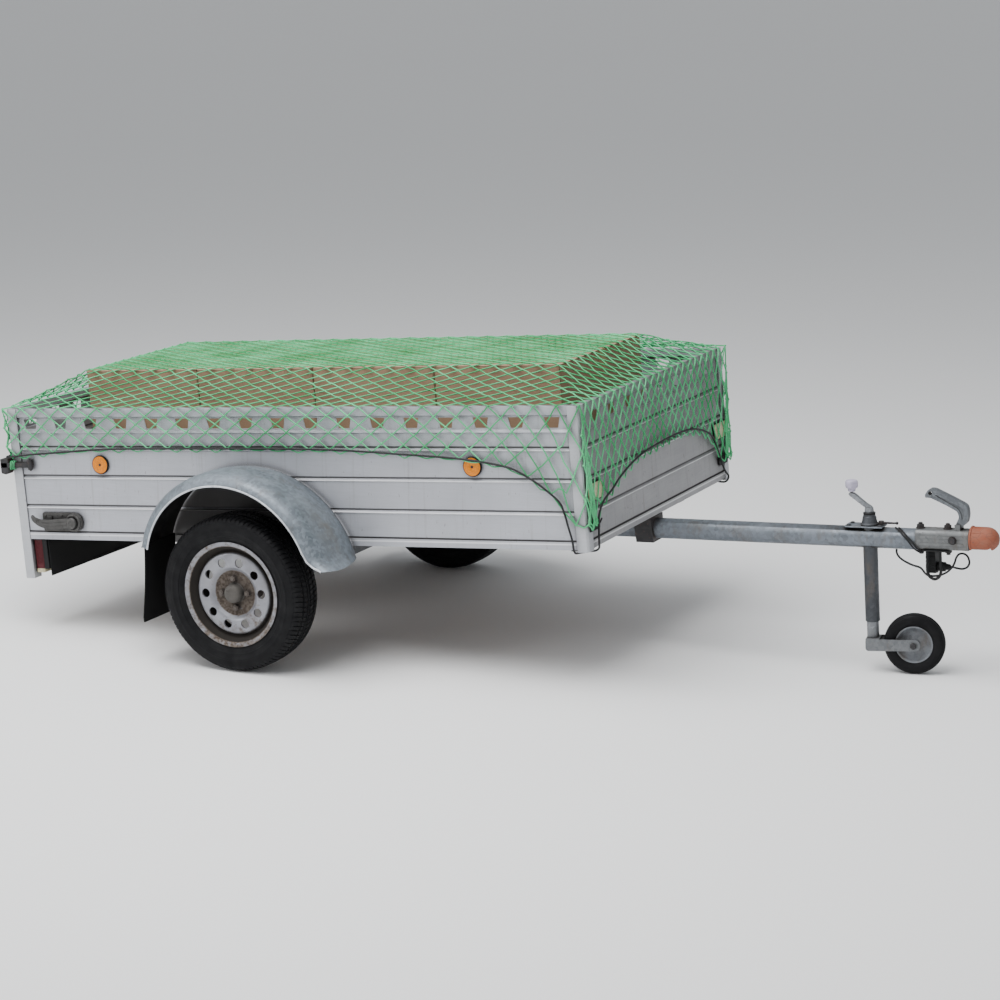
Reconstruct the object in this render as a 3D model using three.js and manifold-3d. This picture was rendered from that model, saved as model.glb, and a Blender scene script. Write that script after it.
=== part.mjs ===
// A single-axle aluminium box trailer, parked nose-up on its jockey wheel, with four cartons in the
// bed under a lashed cargo net. Units are millimetres and +Z is up.
//
// Everything is drawn in the trailer's own level frame: X forward from the axle, Y to the left, Z up
// from the bottom of the tyres. The drawbar and what it carries are drawn along the drawbar instead:
// X along the tube from the bed's front wall, Z across it. The whole trailer is then pitched nose-up
// and moved so that its origin is the bottom centre of its bounding box.
import * as THREE from "three";
import { mergeVertices } from "three/addons/utils/BufferGeometryUtils.js";
import Module from "manifold-3d";

const wasm = await Module();
wasm.setup();

// ---------------------------------------------------------------- driving dimensions
const NOSE_UP = THREE.MathUtils.degToRad(4.0);
const GAP = 0.4; // between pieces that touch

const BED = { rear: -1015, front: 1241, half: 619, bottom: 396, top: 869 };
const POST = { size: 42, chamfer: 6, frontBottom: 389, rearBottom: 251 };
const WALL = { proud: 2, thick: 25, joints: [520, 628, 732], slotBand: [792, 837] };
const SLOT = { z: [797, 832], top: 56, bottom: 42 };
const SIDE_SLOTS = { count: 17, first: -920, pitch: 128.8 };
const END_SLOTS = { count: 8, pitch: 138 };
const FLOOR = { bottom: 400, thick: 12 };

const FRAME_RAIL = { y: 400, width: 45, z: [350, 399], wall: 4 };
const CROSSMEMBER = [BED.front - 92, BED.front - 45];
const LAMP_BOARD = { x: -912, thick: 4, half: 600, z: [258, 394] };
const LAMP = { x: [-1006, -912.5], y: [400, 570], wrapX: -968, wrapY: 607, z: [285, 392] };

const TYRE = { radius: 269, halfWidth: 77, bead: 170 };
const RIM = { flange: 182.5, halfWidth: 65, holes: 10, holeCircle: 110, holeRadius: 15.5 };
const WHEEL_Y = 774;
const AXLE = { x: 140, z: 318, size: 62, half: 640 };
const WHEEL_BOLTS = { count: 4, circle: 50, radius: 9 };

const GUARD = { thick: 2.5, from: 158, to: 20 };
const FLAP = { top: 440, bottom: 163, y: [662, 848], thick: 5, x: -335, lean: 27 };

const DRAWBAR = { z: 337, slope: THREE.MathUtils.degToRad(1.45), radius: 35, wall: 4, from: -540, to: 900 };
const JOCKEY = { x: 735, outer: 24, inner: 20, wall: 2.5, trail: 137 };
const HEADING = THREE.MathUtils.degToRad(10); // of the jockey wheel's fork
const JOCKEY_WHEEL = { radius: 101.7, halfWidth: 26, rim: 61 };
const HANDLE_PIVOT = { x: 1040, z: 49 };
const BALL = { x: 1122, z: -2, radius: 25.3 };

const CARTONS = { x: [-869, 1041], y: [-315, 360], top: 958, count: 4, gap: 3 };
const NET = {
  thick: 3,
  clear: 2, // above what it lies on
  out: 8, // outside the walls
  rearHem: [704, 707, 707, 704],
  sideHem: [704, 733, 640, 500],
  frontHem: [500, 604, 610, 500],
};
const ROPE_RADIUS = 3.5;

// ---------------------------------------------------------------- geometry helpers
// A closed geometry as a manifold-3d solid, ready to be joined or cut.
function solid(geometry) {
  const bare = geometry.index ? geometry.toNonIndexed() : geometry.clone();
  bare.deleteAttribute("normal");
  bare.deleteAttribute("uv");
  const merged = mergeVertices(bare, 1e-3);
  return new wasm.Manifold(
    new wasm.Mesh({
      numProp: 3,
      vertProperties: merged.attributes.position.array,
      triVerts: new Uint32Array(merged.index.array),
    }),
  );
}

function geometryOf(manifold) {
  const { vertProperties, triVerts } = manifold.getMesh();
  return new THREE.BufferGeometry()
    .setAttribute("position", new THREE.BufferAttribute(vertProperties, 3))
    .setIndex(new THREE.BufferAttribute(triVerts, 1));
}

const joined = (first, ...others) =>
  geometryOf(others.reduce((sum, g) => sum.add(solid(g)), solid(first)));

const cut = (body, ...tools) =>
  geometryOf(tools.reduce((rest, g) => rest.subtract(solid(g)), solid(body)));

function block([x0, x1], [y0, y1], [z0, z1]) {
  return new THREE.BoxGeometry(x1 - x0, y1 - y0, z1 - z0).translate(
    (x0 + x1) / 2,
    (y0 + y1) / 2,
    (z0 + z1) / 2,
  );
}

// A cylinder along an axis ("x", "y" or "z") from one station to another, or a cone with two radii.
function rod(axis, [from, to], [a, b], radius, endRadius = radius, sides = 24) {
  const g = new THREE.CylinderGeometry(endRadius, radius, to - from, sides);
  g.translate(0, (from + to) / 2, 0);
  if (axis === "x") return g.rotateZ(-Math.PI / 2).translate(0, a, b);
  if (axis === "z") return g.rotateX(Math.PI / 2).translate(a, b, 0);
  return g.translate(a, 0, b);
}

// An outline across an axis, extruded along it, with any hollows that run its whole length. The two
// coordinates are (y, z) across X, (x, z) across Y and (x, y) across Z.
function prism(axis, [from, to], outline, hollows = []) {
  const shape = new THREE.Shape(outline.map(([a, b]) => new THREE.Vector2(a, b)));
  for (const hollow of hollows) {
    shape.holes.push(new THREE.Path(hollow.map(([a, b]) => new THREE.Vector2(a, b))));
  }
  const g = new THREE.ExtrudeGeometry(shape, { depth: to - from, bevelEnabled: false });
  if (axis === "z") return g.translate(0, 0, from);
  if (axis === "y") return g.rotateX(Math.PI / 2).translate(0, to, 0);
  return g.rotateX(Math.PI / 2).rotateZ(Math.PI / 2).translate(from, 0, 0);
}

// A profile of (radius, y) points turned about the Y axis, listed either way round. It closes on
// itself, or on the axis when it starts and ends there.
function turned(profile, sides = 40) {
  const points = profile.map(([r, y]) => new THREE.Vector2(r, y));
  if (THREE.ShapeUtils.area(points) < 0) points.reverse();
  if (points[0].x > 0) points.push(points[0]);
  return new THREE.LatheGeometry(points, sides);
}

// A tube of round section along a smooth curve through the given points.
function tube(points, radius, steps, sides = 8) {
  const path = new THREE.CatmullRomCurve3(points.map((p) => new THREE.Vector3(...p)), false, "centripetal");
  const ring = Array.from({ length: sides }, (_, i) => {
    const angle = (2 * Math.PI * i) / sides;
    return new THREE.Vector2(radius * Math.cos(angle), radius * Math.sin(angle));
  });
  return new THREE.ExtrudeGeometry(new THREE.Shape(ring), { steps, extrudePath: path });
}

// The closed solid between two grids of points of the same size: over is its outer skin, seen with its
// rows running left to right and its columns bottom to top, and under its inner skin.
function skin(over, under) {
  const rows = over.length;
  const columns = over[0].length;
  const positions = [...over.flat(), ...under.flat()].flat();
  const at = (layer, i, j) => layer * rows * columns + i * columns + j;
  const faces = [];
  const quad = (a, b, c, d) => faces.push(a, b, c, a, c, d);
  for (let i = 0; i + 1 < rows; i++)
    for (let j = 0; j + 1 < columns; j++) {
      quad(at(0, i, j), at(0, i + 1, j), at(0, i + 1, j + 1), at(0, i, j + 1));
      quad(at(1, i, j), at(1, i, j + 1), at(1, i + 1, j + 1), at(1, i + 1, j));
    }
  for (let i = 0; i + 1 < rows; i++) {
    quad(at(0, i, 0), at(1, i, 0), at(1, i + 1, 0), at(0, i + 1, 0));
    const j = columns - 1;
    quad(at(0, i, j), at(0, i + 1, j), at(1, i + 1, j), at(1, i, j));
  }
  for (let j = 0; j + 1 < columns; j++) {
    quad(at(0, 0, j), at(0, 0, j + 1), at(1, 0, j + 1), at(1, 0, j));
    quad(at(0, rows - 1, j), at(1, rows - 1, j), at(1, rows - 1, j + 1), at(0, rows - 1, j + 1));
  }
  return new THREE.BufferGeometry()
    .setAttribute("position", new THREE.BufferAttribute(new Float32Array(positions), 3))
    .setIndex(faces);
}

// ---------------------------------------------------------------- materials
const finish = (color, roughness, metalness) =>
  new THREE.MeshStandardMaterial({ color, roughness, metalness });
const ALUMINIUM = finish(0xb9bac2, 0.45, 0.7);
const ANODISED = finish(0xc4c5ca, 0.4, 0.7);
const GALVANISED = finish(0x8b9298, 0.55, 0.7);
const DARK_STEEL = finish(0x3a3a3c, 0.6, 0.5);
const WHEEL_STEEL = finish(0xa3a3a8, 0.45, 0.7);
const ZINC = finish(0x9a958c, 0.4, 0.8);
const TYRE_RUBBER = finish(0x16171b, 0.85, 0);
const BLACK_RUBBER = finish(0x131315, 0.8, 0);
const BLACK_PLASTIC = finish(0x1b1b1d, 0.6, 0);
const WHITE_PLASTIC = finish(0xd9d4e2, 0.5, 0);
const FADED_ORANGE = finish(0xb2664a, 0.7, 0);
const LAMP_RED = finish(0x7a0f1c, 0.3, 0);
const AMBER = finish(0xd98a2b, 0.3, 0);
const PLYWOOD = finish(0x6d4f36, 0.8, 0);
const CARDBOARD = finish(0x9c7a5c, 0.9, 0);
const NET_GREEN = finish(0x4fae6a, 0.7, 0);

function piece(parent, name, geometry, material) {
  const mesh = new THREE.Mesh(geometry, material);
  mesh.name = name;
  parent.add(mesh);
  return mesh;
}

const trailer = new THREE.Group();

// The same pieces on both sides: the right side is drawn, and the left is its mirror image.
function bothSides(parent, draw) {
  for (const side of ["right", "left"]) {
    const half = new THREE.Group();
    if (side === "left") half.scale.y = -1;
    parent.add(half);
    draw(half, side);
  }
}

// ---------------------------------------------------------------- bed walls and corner posts
// A wall of interlocking hollow planks with a slotted lashing rail along its top, drawn along X with
// its outer face towards -Y at y = 0.
function wallGeometry([from, to], bottom, slots) {
  const face = 3; // the planks' flat faces lie this far behind their ridges
  const groove = 7;
  const ridge = (z) => [[face, z - 12], [0, z - 10], [0, z - 8], [groove, z]];
  const outline = [
    [0, bottom], [0, 422], [groove, 424], [groove, 427], [face, 427],
    ...WALL.joints.flatMap((z) => [...ridge(z), [groove, z + 4], [face, z + 4]]),
    ...ridge(WALL.slotBand[0]),
    [groove, WALL.slotBand[1]], [0, WALL.slotBand[1] + 3], [0, BED.top],
    [WALL.thick, BED.top], [WALL.thick, WALL.slotBand[1] + 5],
    [groove + 3, WALL.slotBand[1] + 5], [groove + 3, WALL.slotBand[0] - 2], // room for hooks inside
    [WALL.thick, WALL.slotBand[0] - 2], [WALL.thick, bottom],
  ];
  const opening = (x) =>
    prism("y", [-10, WALL.thick + 10], [
      [x - SLOT.bottom / 2, SLOT.z[0]],
      [x + SLOT.bottom / 2, SLOT.z[0]],
      [x + SLOT.top / 2, SLOT.z[1]],
      [x - SLOT.top / 2, SLOT.z[1]],
    ]);
  const skinned = [8.5, WALL.thick - 1.5];
  const webs = [bottom + 34, ...WALL.joints, WALL.slotBand[0] - 2];
  const hollows = webs.slice(1).map((z, i) => [
    [skinned[0], webs[i] + 1.5], [skinned[1], webs[i] + 1.5], [skinned[1], z - 1.5], [skinned[0], z - 1.5],
  ]);
  return cut(prism("x", [from, to], outline, hollows), ...slots.map(opening));
}

function sideWalls() {
  const span = [BED.rear + POST.size + GAP, BED.front - POST.size - GAP];
  const slots = Array.from({ length: SIDE_SLOTS.count }, (_, i) => SIDE_SLOTS.first + i * SIDE_SLOTS.pitch);
  bothSides(trailer, (half, side) => {
    const wall = piece(half, `${side}_wall`, wallGeometry(span, BED.bottom, slots), ALUMINIUM);
    wall.position.y = -BED.half + WALL.proud;
  });
}

function endWalls() {
  const reach = BED.half - POST.size - 2 * GAP;
  const slots = Array.from(
    { length: END_SLOTS.count },
    (_, i) => (i - (END_SLOTS.count - 1) / 2) * END_SLOTS.pitch,
  );
  const front = piece(trailer, "front_wall", wallGeometry([-reach, reach], BED.bottom, slots), ALUMINIUM);
  front.rotation.z = Math.PI / 2;
  front.position.x = BED.front - WALL.proud;
  const rear = piece(trailer, "tailgate", wallGeometry([-reach, reach], BED.bottom + 2, slots), ALUMINIUM);
  rear.rotation.z = -Math.PI / 2;
  rear.position.x = BED.rear + WALL.proud;
}

function cornerPosts() {
  const s = POST.size;
  const c = POST.chamfer;
  const outline = [[c, 0], [s, 0], [s, s], [0, s], [0, c]]; // outer corner at the origin
  const turnedOutline = outline.map(([a, b]) => [-b, a]);
  bothSides(trailer, (half, side) => {
    const rearPost = prism("z", [POST.rearBottom, BED.top], outline);
    piece(half, `rear_${side}_post`, rearPost, ANODISED).position.set(BED.rear, -BED.half, 0);
    const frontPost = prism("z", [POST.frontBottom, BED.top], turnedOutline);
    piece(half, `front_${side}_post`, frontPost, ANODISED).position.set(BED.front, -BED.half, 0);
  });
}

// ---------------------------------------------------------------- floor and frame
function floorPanel() {
  const inset = WALL.proud + WALL.thick + 2;
  const notch = POST.size + 1;
  const x = [BED.rear + inset, BED.front - inset];
  const y = BED.half - inset;
  const corner = BED.half - notch;
  const outline = [
    [BED.rear + notch, -y], [BED.front - notch, -y], [BED.front - notch, -corner], [x[1], -corner],
    [x[1], corner], [BED.front - notch, corner], [BED.front - notch, y], [BED.rear + notch, y],
    [BED.rear + notch, corner], [x[0], corner], [x[0], -corner], [BED.rear + notch, -corner],
  ];
  piece(trailer, "floor_panel", prism("z", [FLOOR.bottom, FLOOR.bottom + FLOOR.thick], outline), PLYWOOD);
}

function frameRails() {
  const [z0, z1] = FRAME_RAIL.z;
  const { y, width, wall: t } = FRAME_RAIL;
  const channel = [
    [-y, z0], [width - y, z0], [width - y, z0 + t], [t - y, z0 + t], [t - y, z1 - t], [width - y, z1 - t],
    [width - y, z1], [-y, z1],
  ];
  const rail = prism("x", [LAMP_BOARD.x + 8, CROSSMEMBER[0] - 1], channel);
  bothSides(trailer, (half, side) => piece(half, `${side}_frame_rail`, rail, GALVANISED));
}

// The front crossmember, with the clamp that holds the drawbar to it.
function drawbarCrossmember() {
  const bar = block(CROSSMEMBER, [-560, 560], [379, FRAME_RAIL.z[1]]);
  const inBedFrame = (g) => g.rotateY(DRAWBAR.slope).translate(BED.front, 0, DRAWBAR.z);
  const clamp = prism("x", [-92, -28], [[-52, 44], [-52, 10], [-40, -44], [40, -44], [52, 10], [52, 44]]);
  const seat = rod("x", [-100, 0], [0, 0], DRAWBAR.radius + GAP, DRAWBAR.radius + GAP, 20);
  piece(trailer, "drawbar_crossmember", cut(joined(bar, inBedFrame(clamp)), inBedFrame(seat)), DARK_STEEL);
}

function lampBoard() {
  const { x, thick, half, z } = LAMP_BOARD;
  const board = block([x, x + thick], [-half, half], z);
  const plate = block([x - 8, x + 1], [-260, 260], [z[0] + 12, z[1] - 12]);
  const stiffener = block([x, x + 7], [-345, 345], [z[0], z[0] + 10]);
  piece(trailer, "lamp_board", joined(board, plate, stiffener), BLACK_PLASTIC);
  bothSides(trailer, (parent, side) => {
    const lamp = joined(
      block([LAMP.x[0], x - GAP], [-LAMP.y[1], -LAMP.y[0]], LAMP.z),
      block([LAMP.wrapX, x - GAP], [-LAMP.wrapY, -LAMP.y[1] + 1], LAMP.z),
    );
    piece(parent, `rear_lamp_${side}`, lamp, LAMP_RED);
  });
}

function sideReflectors() {
  for (const [place, x] of Object.entries({ rear: -631, front: 844 }))
    bothSides(trailer, (half, side) => {
      const y = -BED.half + WALL.proud;
      const disc = joined(
        rod("y", [y - 5, y - GAP], [x, 670], 33, 33, 20),
        rod("y", [y - 7.5, y - 4], [x, 670], 27, 29, 20),
      );
      piece(half, `${place}_${side}_reflector`, disc, AMBER);
    });
}

// ---------------------------------------------------------------- axle and wheels
function axleBeam() {
  const { x, z, size, half } = AXLE;
  const square = (width, reach) =>
    block([x - width / 2, x + width / 2], [-reach, reach], [z - width / 2, z + width / 2]);
  const plate = (sign) => {
    const y = sign * (FRAME_RAIL.y + 5);
    return block([x - 80, x + 80], [y - 4.4, y + 4.4], [z + size / 2 - 4, 392]);
  };
  const beam = cut(square(size, half), square(size - 10, half + 1));
  piece(trailer, "axle_beam", joined(beam, plate(1), plate(-1)), GALVANISED);
}

// A trailing arm of the rubber torsion axle, with the stub axle that its hub turns on.
function trailingArm(parent, side) {
  const arm = prism("y", [-680, -655], [
    [-32, TYRE.radius - 26], [-10, TYRE.radius - 34], [AXLE.x + 16, AXLE.z - 36],
    [AXLE.x + 36, AXLE.z - 12], [AXLE.x + 30, AXLE.z + 26], [AXLE.x - 8, AXLE.z + 34],
    [-18, TYRE.radius + 32], [-36, TYRE.radius + 14],
  ]);
  const shaft = block([AXLE.x - 18, AXLE.x + 18], [-656, -560], [AXLE.z - 18, AXLE.z + 18]);
  const stub = rod("y", [-745, -679], [0, TYRE.radius], 17);
  piece(parent, `${side}_trailing_arm`, joined(arm, shaft, stub), GALVANISED);
}

// Hub, drawn about the axle with its outer end towards -Y: drum, flange, wheel bolts and grease cap.
function hubGeometry() {
  const body = turned([
    [0, -748], [17.5, -748], [17.5, -687], [44, -687], [50, -700], [50, -770], [66, -786], [66, -797.5],
    [31, -798], [30, -832], [22, -838], [0, -839],
  ], 16);
  const bolts = Array.from({ length: WHEEL_BOLTS.count }, (_, i) => {
    const angle = (2 * Math.PI * i) / WHEEL_BOLTS.count;
    const place = [WHEEL_BOLTS.circle * Math.cos(angle), WHEEL_BOLTS.circle * Math.sin(angle)];
    const shank = rod("y", [-806, -790], place, 5.6, 5.6, 6);
    return joined(shank, rod("y", [-817, -804.5], place, WHEEL_BOLTS.radius, WHEEL_BOLTS.radius, 6));
  });
  return joined(body, ...bolts);
}

// Pressed steel rim, drawn about the axle with its outer side towards -Y.
function rimGeometry() {
  const out = (offset) => -(WHEEL_Y + offset);
  const w = RIM.halfWidth;
  const seat = TYRE.bead - 1;
  const tyreSide = [
    [RIM.flange, out(w)], [RIM.flange, out(w - 4)], [seat, out(w - 8)], [152, out(22)], [152, out(30 - w)],
    [seat, out(8 - w)], [RIM.flange, out(4 - w)], [RIM.flange, out(-w)],
  ];
  const hubSide = [
    [seat - 4, out(4 - w)], [147, out(32 - w)], [147, out(-4)], [138, out(38)], [94, out(42)],
    [77, out(25)], [34, out(25)], [34, out(30)], [74, out(30)], [92, out(47)], [139.5, out(46)],
    [147, out(24)], [seat - 4, out(w - 4)],
  ];
  const body = turned([...tyreSide, ...hubSide], 24);
  const around = (count, offset, radius, holeRadius, sides) =>
    Array.from({ length: count }, (_, i) => {
      const angle = (2 * Math.PI * (i + offset)) / count;
      const place = [radius * Math.cos(angle), radius * Math.sin(angle)];
      return rod("y", [out(60), out(20)], place, holeRadius, holeRadius, sides);
    });
  const vents = around(RIM.holes, 0, RIM.holeCircle, RIM.holeRadius, 8);
  const boltHoles = around(WHEEL_BOLTS.count, 0, WHEEL_BOLTS.circle, 6.6, 6);
  return cut(body, ...vents, ...boltHoles);
}

function tyreGeometry() {
  const half = [[TYRE.bead, 56], [186, 59], [200, 71], [224, TYRE.halfWidth], [250, 73], [TYRE.radius, 46]];
  const outer = [...half, ...half.map(([r, y]) => [r, -y]).reverse()];
  const lining = [[TYRE.bead + 8, -48], [228, -66], [252, -44], [252, 44], [228, 66], [TYRE.bead + 8, 48]];
  return turned([...outer, ...lining].map(([r, y]) => [r, y - WHEEL_Y]), 28);
}

function axleAndWheels() {
  axleBeam();
  bothSides(trailer, (half, side) => {
    trailingArm(half, side);
    const wheel = new THREE.Group();
    wheel.position.z = TYRE.radius;
    wheel.rotation.y = NOSE_UP; // stands the facets square on the ground
    half.add(wheel);
    piece(wheel, `${side}_hub`, hubGeometry(), GALVANISED);
    piece(wheel, `${side}_rim`, rimGeometry(), WHEEL_STEEL);
    piece(wheel, `${side}_tyre`, tyreGeometry(), TYRE_RUBBER);
  });
}

// ---------------------------------------------------------------- mudguards
function mudguards() {
  // [y, centre x, centre z, radius] from the wall to the outer lip
  const section = [
    [-621, -15, 268, 400], [-660, -14, 270, 407], [-720, -10, 276, 408], [-800, -4, 288, 398],
    [-845, 0, 299, 383], [-870, 2, 307, 363], [-880, 3, 311, 341],
  ];
  // [angle at the wall, angle at the lip, outward turn at the lip] of the front end
  const front = [[GUARD.to, GUARD.to, 0], [17.5, 14.4, 6], [15, 11, 22], [12.7, 8, 50]];
  const turn = THREE.MathUtils.degToRad;
  const grid = (inset) =>
    section.map(([y, x, z, radius]) => {
      const towardsLip = (section[0][0] - y) / (section[0][0] - section.at(-1)[0]);
      const at = (degrees, extra) => {
        const r = radius + extra - inset;
        return [x + r * Math.cos(turn(degrees)), y, z + r * Math.sin(turn(degrees))];
      };
      const row = [];
      for (let a = GUARD.from; a > GUARD.to; a -= 11.5) row.push(at(a, 0));
      for (const [wall, lip, out] of front) {
        row.push(at(wall + (lip - wall) * towardsLip, out * towardsLip));
      }
      return row;
    });
  bothSides(trailer, (half, side) => {
    piece(half, `${side}_mudguard`, skin(grid(0), grid(GUARD.thick)), GALVANISED);
    const { x, lean, thick, top, bottom, y } = FLAP;
    const flap = prism("y", [-y[1], -y[0]], [
      [x - lean, bottom], [x - lean + thick, bottom], [x + thick, top], [x, top],
    ]);
    piece(half, `${side}_mud_flap`, flap, BLACK_RUBBER);
  });
}

// ---------------------------------------------------------------- latches
// Corner latch: an arm on a pin at the wall's rear end, whose catch lies behind the corner post.
function cornerLatch(parent, side) {
  const y = -BED.half;
  const arm = prism("z", [661, 679], [
    [-936, y - 1], [-922, y - 1], [-922, y - 13], [-1018, y - 22], [-1052, y - 22],
    [-1052, y + 34], [-1016.5, y + 34], [-1016.5, y - 9],
  ]);
  const catchBlock = block([-1052, -1016.5], [y - 22, y + 34], [645, 692]);
  const eye = rod("z", [652, 688], [-929, y - 9], 8);
  piece(parent, `${side}_corner_latch`, joined(arm, catchBlock, eye), DARK_STEEL);
}

// Cam latch: a round housing on a base plate, and a lever that turns on the housing's face.
function camLatch(parent, side) {
  const y = -BED.half + WALL.proud;
  const plate = prism("y", [y - 5, y - GAP], [
    [-905, 428], [-765, 428], [-742, 437], [-731, 462], [-742, 487], [-765, 496], [-905, 496],
  ]);
  const housing = rod("y", [y - 22, y - 4], [-766, 462], 31, 31, 28);
  const rest = block([-880, -862], [y - 9, y - 4], [440, 484]);
  piece(parent, `${side}_cam_latch_base`, joined(plate, housing, rest), ZINC);
  const lever = joined(
    rod("y", [y - 34, y - 22.5], [-766, 462], 20, 20, 20),
    prism("y", [y - 32, y - 23], [
      [-776, 446], [-862, 440], [-912, 452], [-934, 470], [-936, 486], [-920, 480], [-880, 474],
      [-776, 480],
    ]),
  );
  piece(parent, `${side}_cam_latch_lever`, lever, ZINC);
}

// ---------------------------------------------------------------- drawbar, jockey wheel and coupling
const drawbar = new THREE.Group();
drawbar.position.set(BED.front, 0, DRAWBAR.z);
drawbar.rotation.y = DRAWBAR.slope;
trailer.add(drawbar);

function drawbarTube() {
  const { radius, wall, from, to } = DRAWBAR;
  const outside = rod("x", [from, to], [0, 0], radius, radius, 20);
  const bore = rod("x", [from - 1, to + 1], [0, 0], radius - wall, radius - wall, 20);
  const jockeyHole = rod("z", [-60, 60], [JOCKEY.x, 0], JOCKEY.outer + GAP, JOCKEY.outer + GAP, 20);
  piece(drawbar, "drawbar_tube", cut(outside, bore, jockeyHole), GALVANISED);
}

// Height of the jockey wheel's centre along its tube that stands the pitched trailer on level ground.
function jockeyCentre() {
  const x = JOCKEY.x + JOCKEY.trail * Math.cos(HEADING);
  const [cosS, sinS] = [Math.cos(DRAWBAR.slope), Math.sin(DRAWBAR.slope)];
  const [cosP, sinP] = [Math.cos(NOSE_UP), Math.sin(NOSE_UP)];
  const alongX = BED.front + x * cosS;
  const alongZ = DRAWBAR.z - x * sinS - TYRE.radius;
  const wanted = JOCKEY_WHEEL.radius - TYRE.radius;
  return (wanted - alongZ * cosP - alongX * sinP) / (cosS * cosP + sinS * sinP);
}

function jockeyTubes(centre) {
  const { x, outer, inner, wall } = JOCKEY;
  const bottom = centre + 76;
  const plate = block([x - 80, x + 52], [-32, 32], [DRAWBAR.radius + 1.5, DRAWBAR.radius + 6]);
  const boss = rod("z", [DRAWBAR.radius + 2, 84], [x, 0], outer + 2, 17);
  const sleeve = rod("z", [bottom, DRAWBAR.radius + 4], [x, 0], outer);
  const bore = rod("z", [bottom - 1, 60], [x, 0], outer - wall);
  const spindleHole = rod("z", [59, 100], [x, 0], 8.5, 8.5, 16);
  piece(drawbar, "jockey_outer_tube", cut(joined(plate, boss, sleeve), bore, spindleHole), GALVANISED);
  const leg = cut(
    rod("z", [centre + 21, 12], [x, 0], inner),
    rod("z", [centre + 30, 13], [x, 0], inner - wall),
  );
  piece(drawbar, "jockey_inner_tube", leg, GALVANISED);
}

// The crank that winds the inner tube, with its threaded spindle down the middle.
function jockeyCrank() {
  const { x } = JOCKEY;
  const hub = rod("z", [84.5, 101], [x, 0], 15, 14);
  const spindle = rod("z", [-120, 85], [x, 0], 8, 8, 12);
  const arm = prism("y", [-9, 9], [
    [x + 14, 88], [x + 12, 103], [x - 52, 148], [x - 66, 148], [x - 66, 140], [x - 12, 101],
  ]);
  const pin = rod("z", [142, 176], [x - 58, 0], 5, 5, 12);
  piece(drawbar, "jockey_crank", joined(hub, spindle, arm, pin), ZINC);
  const knob = cut(
    turned([[0, 152], [12, 152], [13, 164], [20, 166], [21, 186], [15, 191], [0, 191]], 20)
      .rotateX(Math.PI / 2).translate(x - 58, 0, 0),
    rod("z", [140, 176.5], [x - 58, 0], 5.4, 5.4, 12),
  );
  piece(drawbar, "jockey_crank_knob", knob, WHITE_PLASTIC);
}

function jockeyClampLever() {
  const { x } = JOCKEY;
  const lever = joined(
    rod("z", [44, 56], [x + 40, 0], 9, 9, 12),
    rod("x", [x + 44, x + 98], [0, 50], 4, 3, 10),
  );
  piece(drawbar, "jockey_clamp_lever", lever, DARK_STEEL);
}

// Fork and wheel, drawn with the fork pointing along +X from the tube, then turned to its heading.
function jockeyWheel(centre) {
  const swivel = new THREE.Group();
  swivel.position.set(JOCKEY.x, 0, centre);
  swivel.rotation.z = HEADING;
  drawbar.add(swivel);
  const { trail } = JOCKEY;
  const { halfWidth, radius, rim } = JOCKEY_WHEEL;
  const cheek = (y) =>
    prism("y", y, [
      [-22, -14], [-16, -20], [trail + 12, -19], [trail + 22, 0], [trail + 12, 19], [-22, 20],
    ]);
  const plate = 5;
  const inside = halfWidth + 5;
  const crown = block([-22, 24], [-inside - 1, inside + 1], [8, 20.4]);
  const axleBolt = rod("y", [-inside - plate - 8, inside + plate + 8], [trail, 0], 8, 8, 16);
  const fork = joined(cheek([-inside - plate, -inside]), crown, cheek([inside, inside + plate]), axleBolt);
  piece(swivel, "jockey_fork", fork, GALVANISED);
  const wheel = new THREE.Group();
  wheel.position.x = trail;
  wheel.rotation.y = NOSE_UP - DRAWBAR.slope;
  swivel.add(wheel);
  const disc = turned([
    [8.4, -24], [16, -24], [18, -8], [40, -5], [50, -12], [rim - 1, -20], [rim - 1, 20], [50, 12], [40, 5],
    [18, 8], [16, 24], [8.4, 24],
  ], 20);
  piece(wheel, "jockey_wheel_rim", disc, GALVANISED);
  const tyre = turned([
    [rim, -18], [72, -halfWidth], [90, -halfWidth], [radius, -12], [radius, 12], [90, halfWidth],
    [72, halfWidth], [rim, 18],
  ], 32);
  piece(wheel, "jockey_tyre", tyre, TYRE_RUBBER);
}

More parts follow.
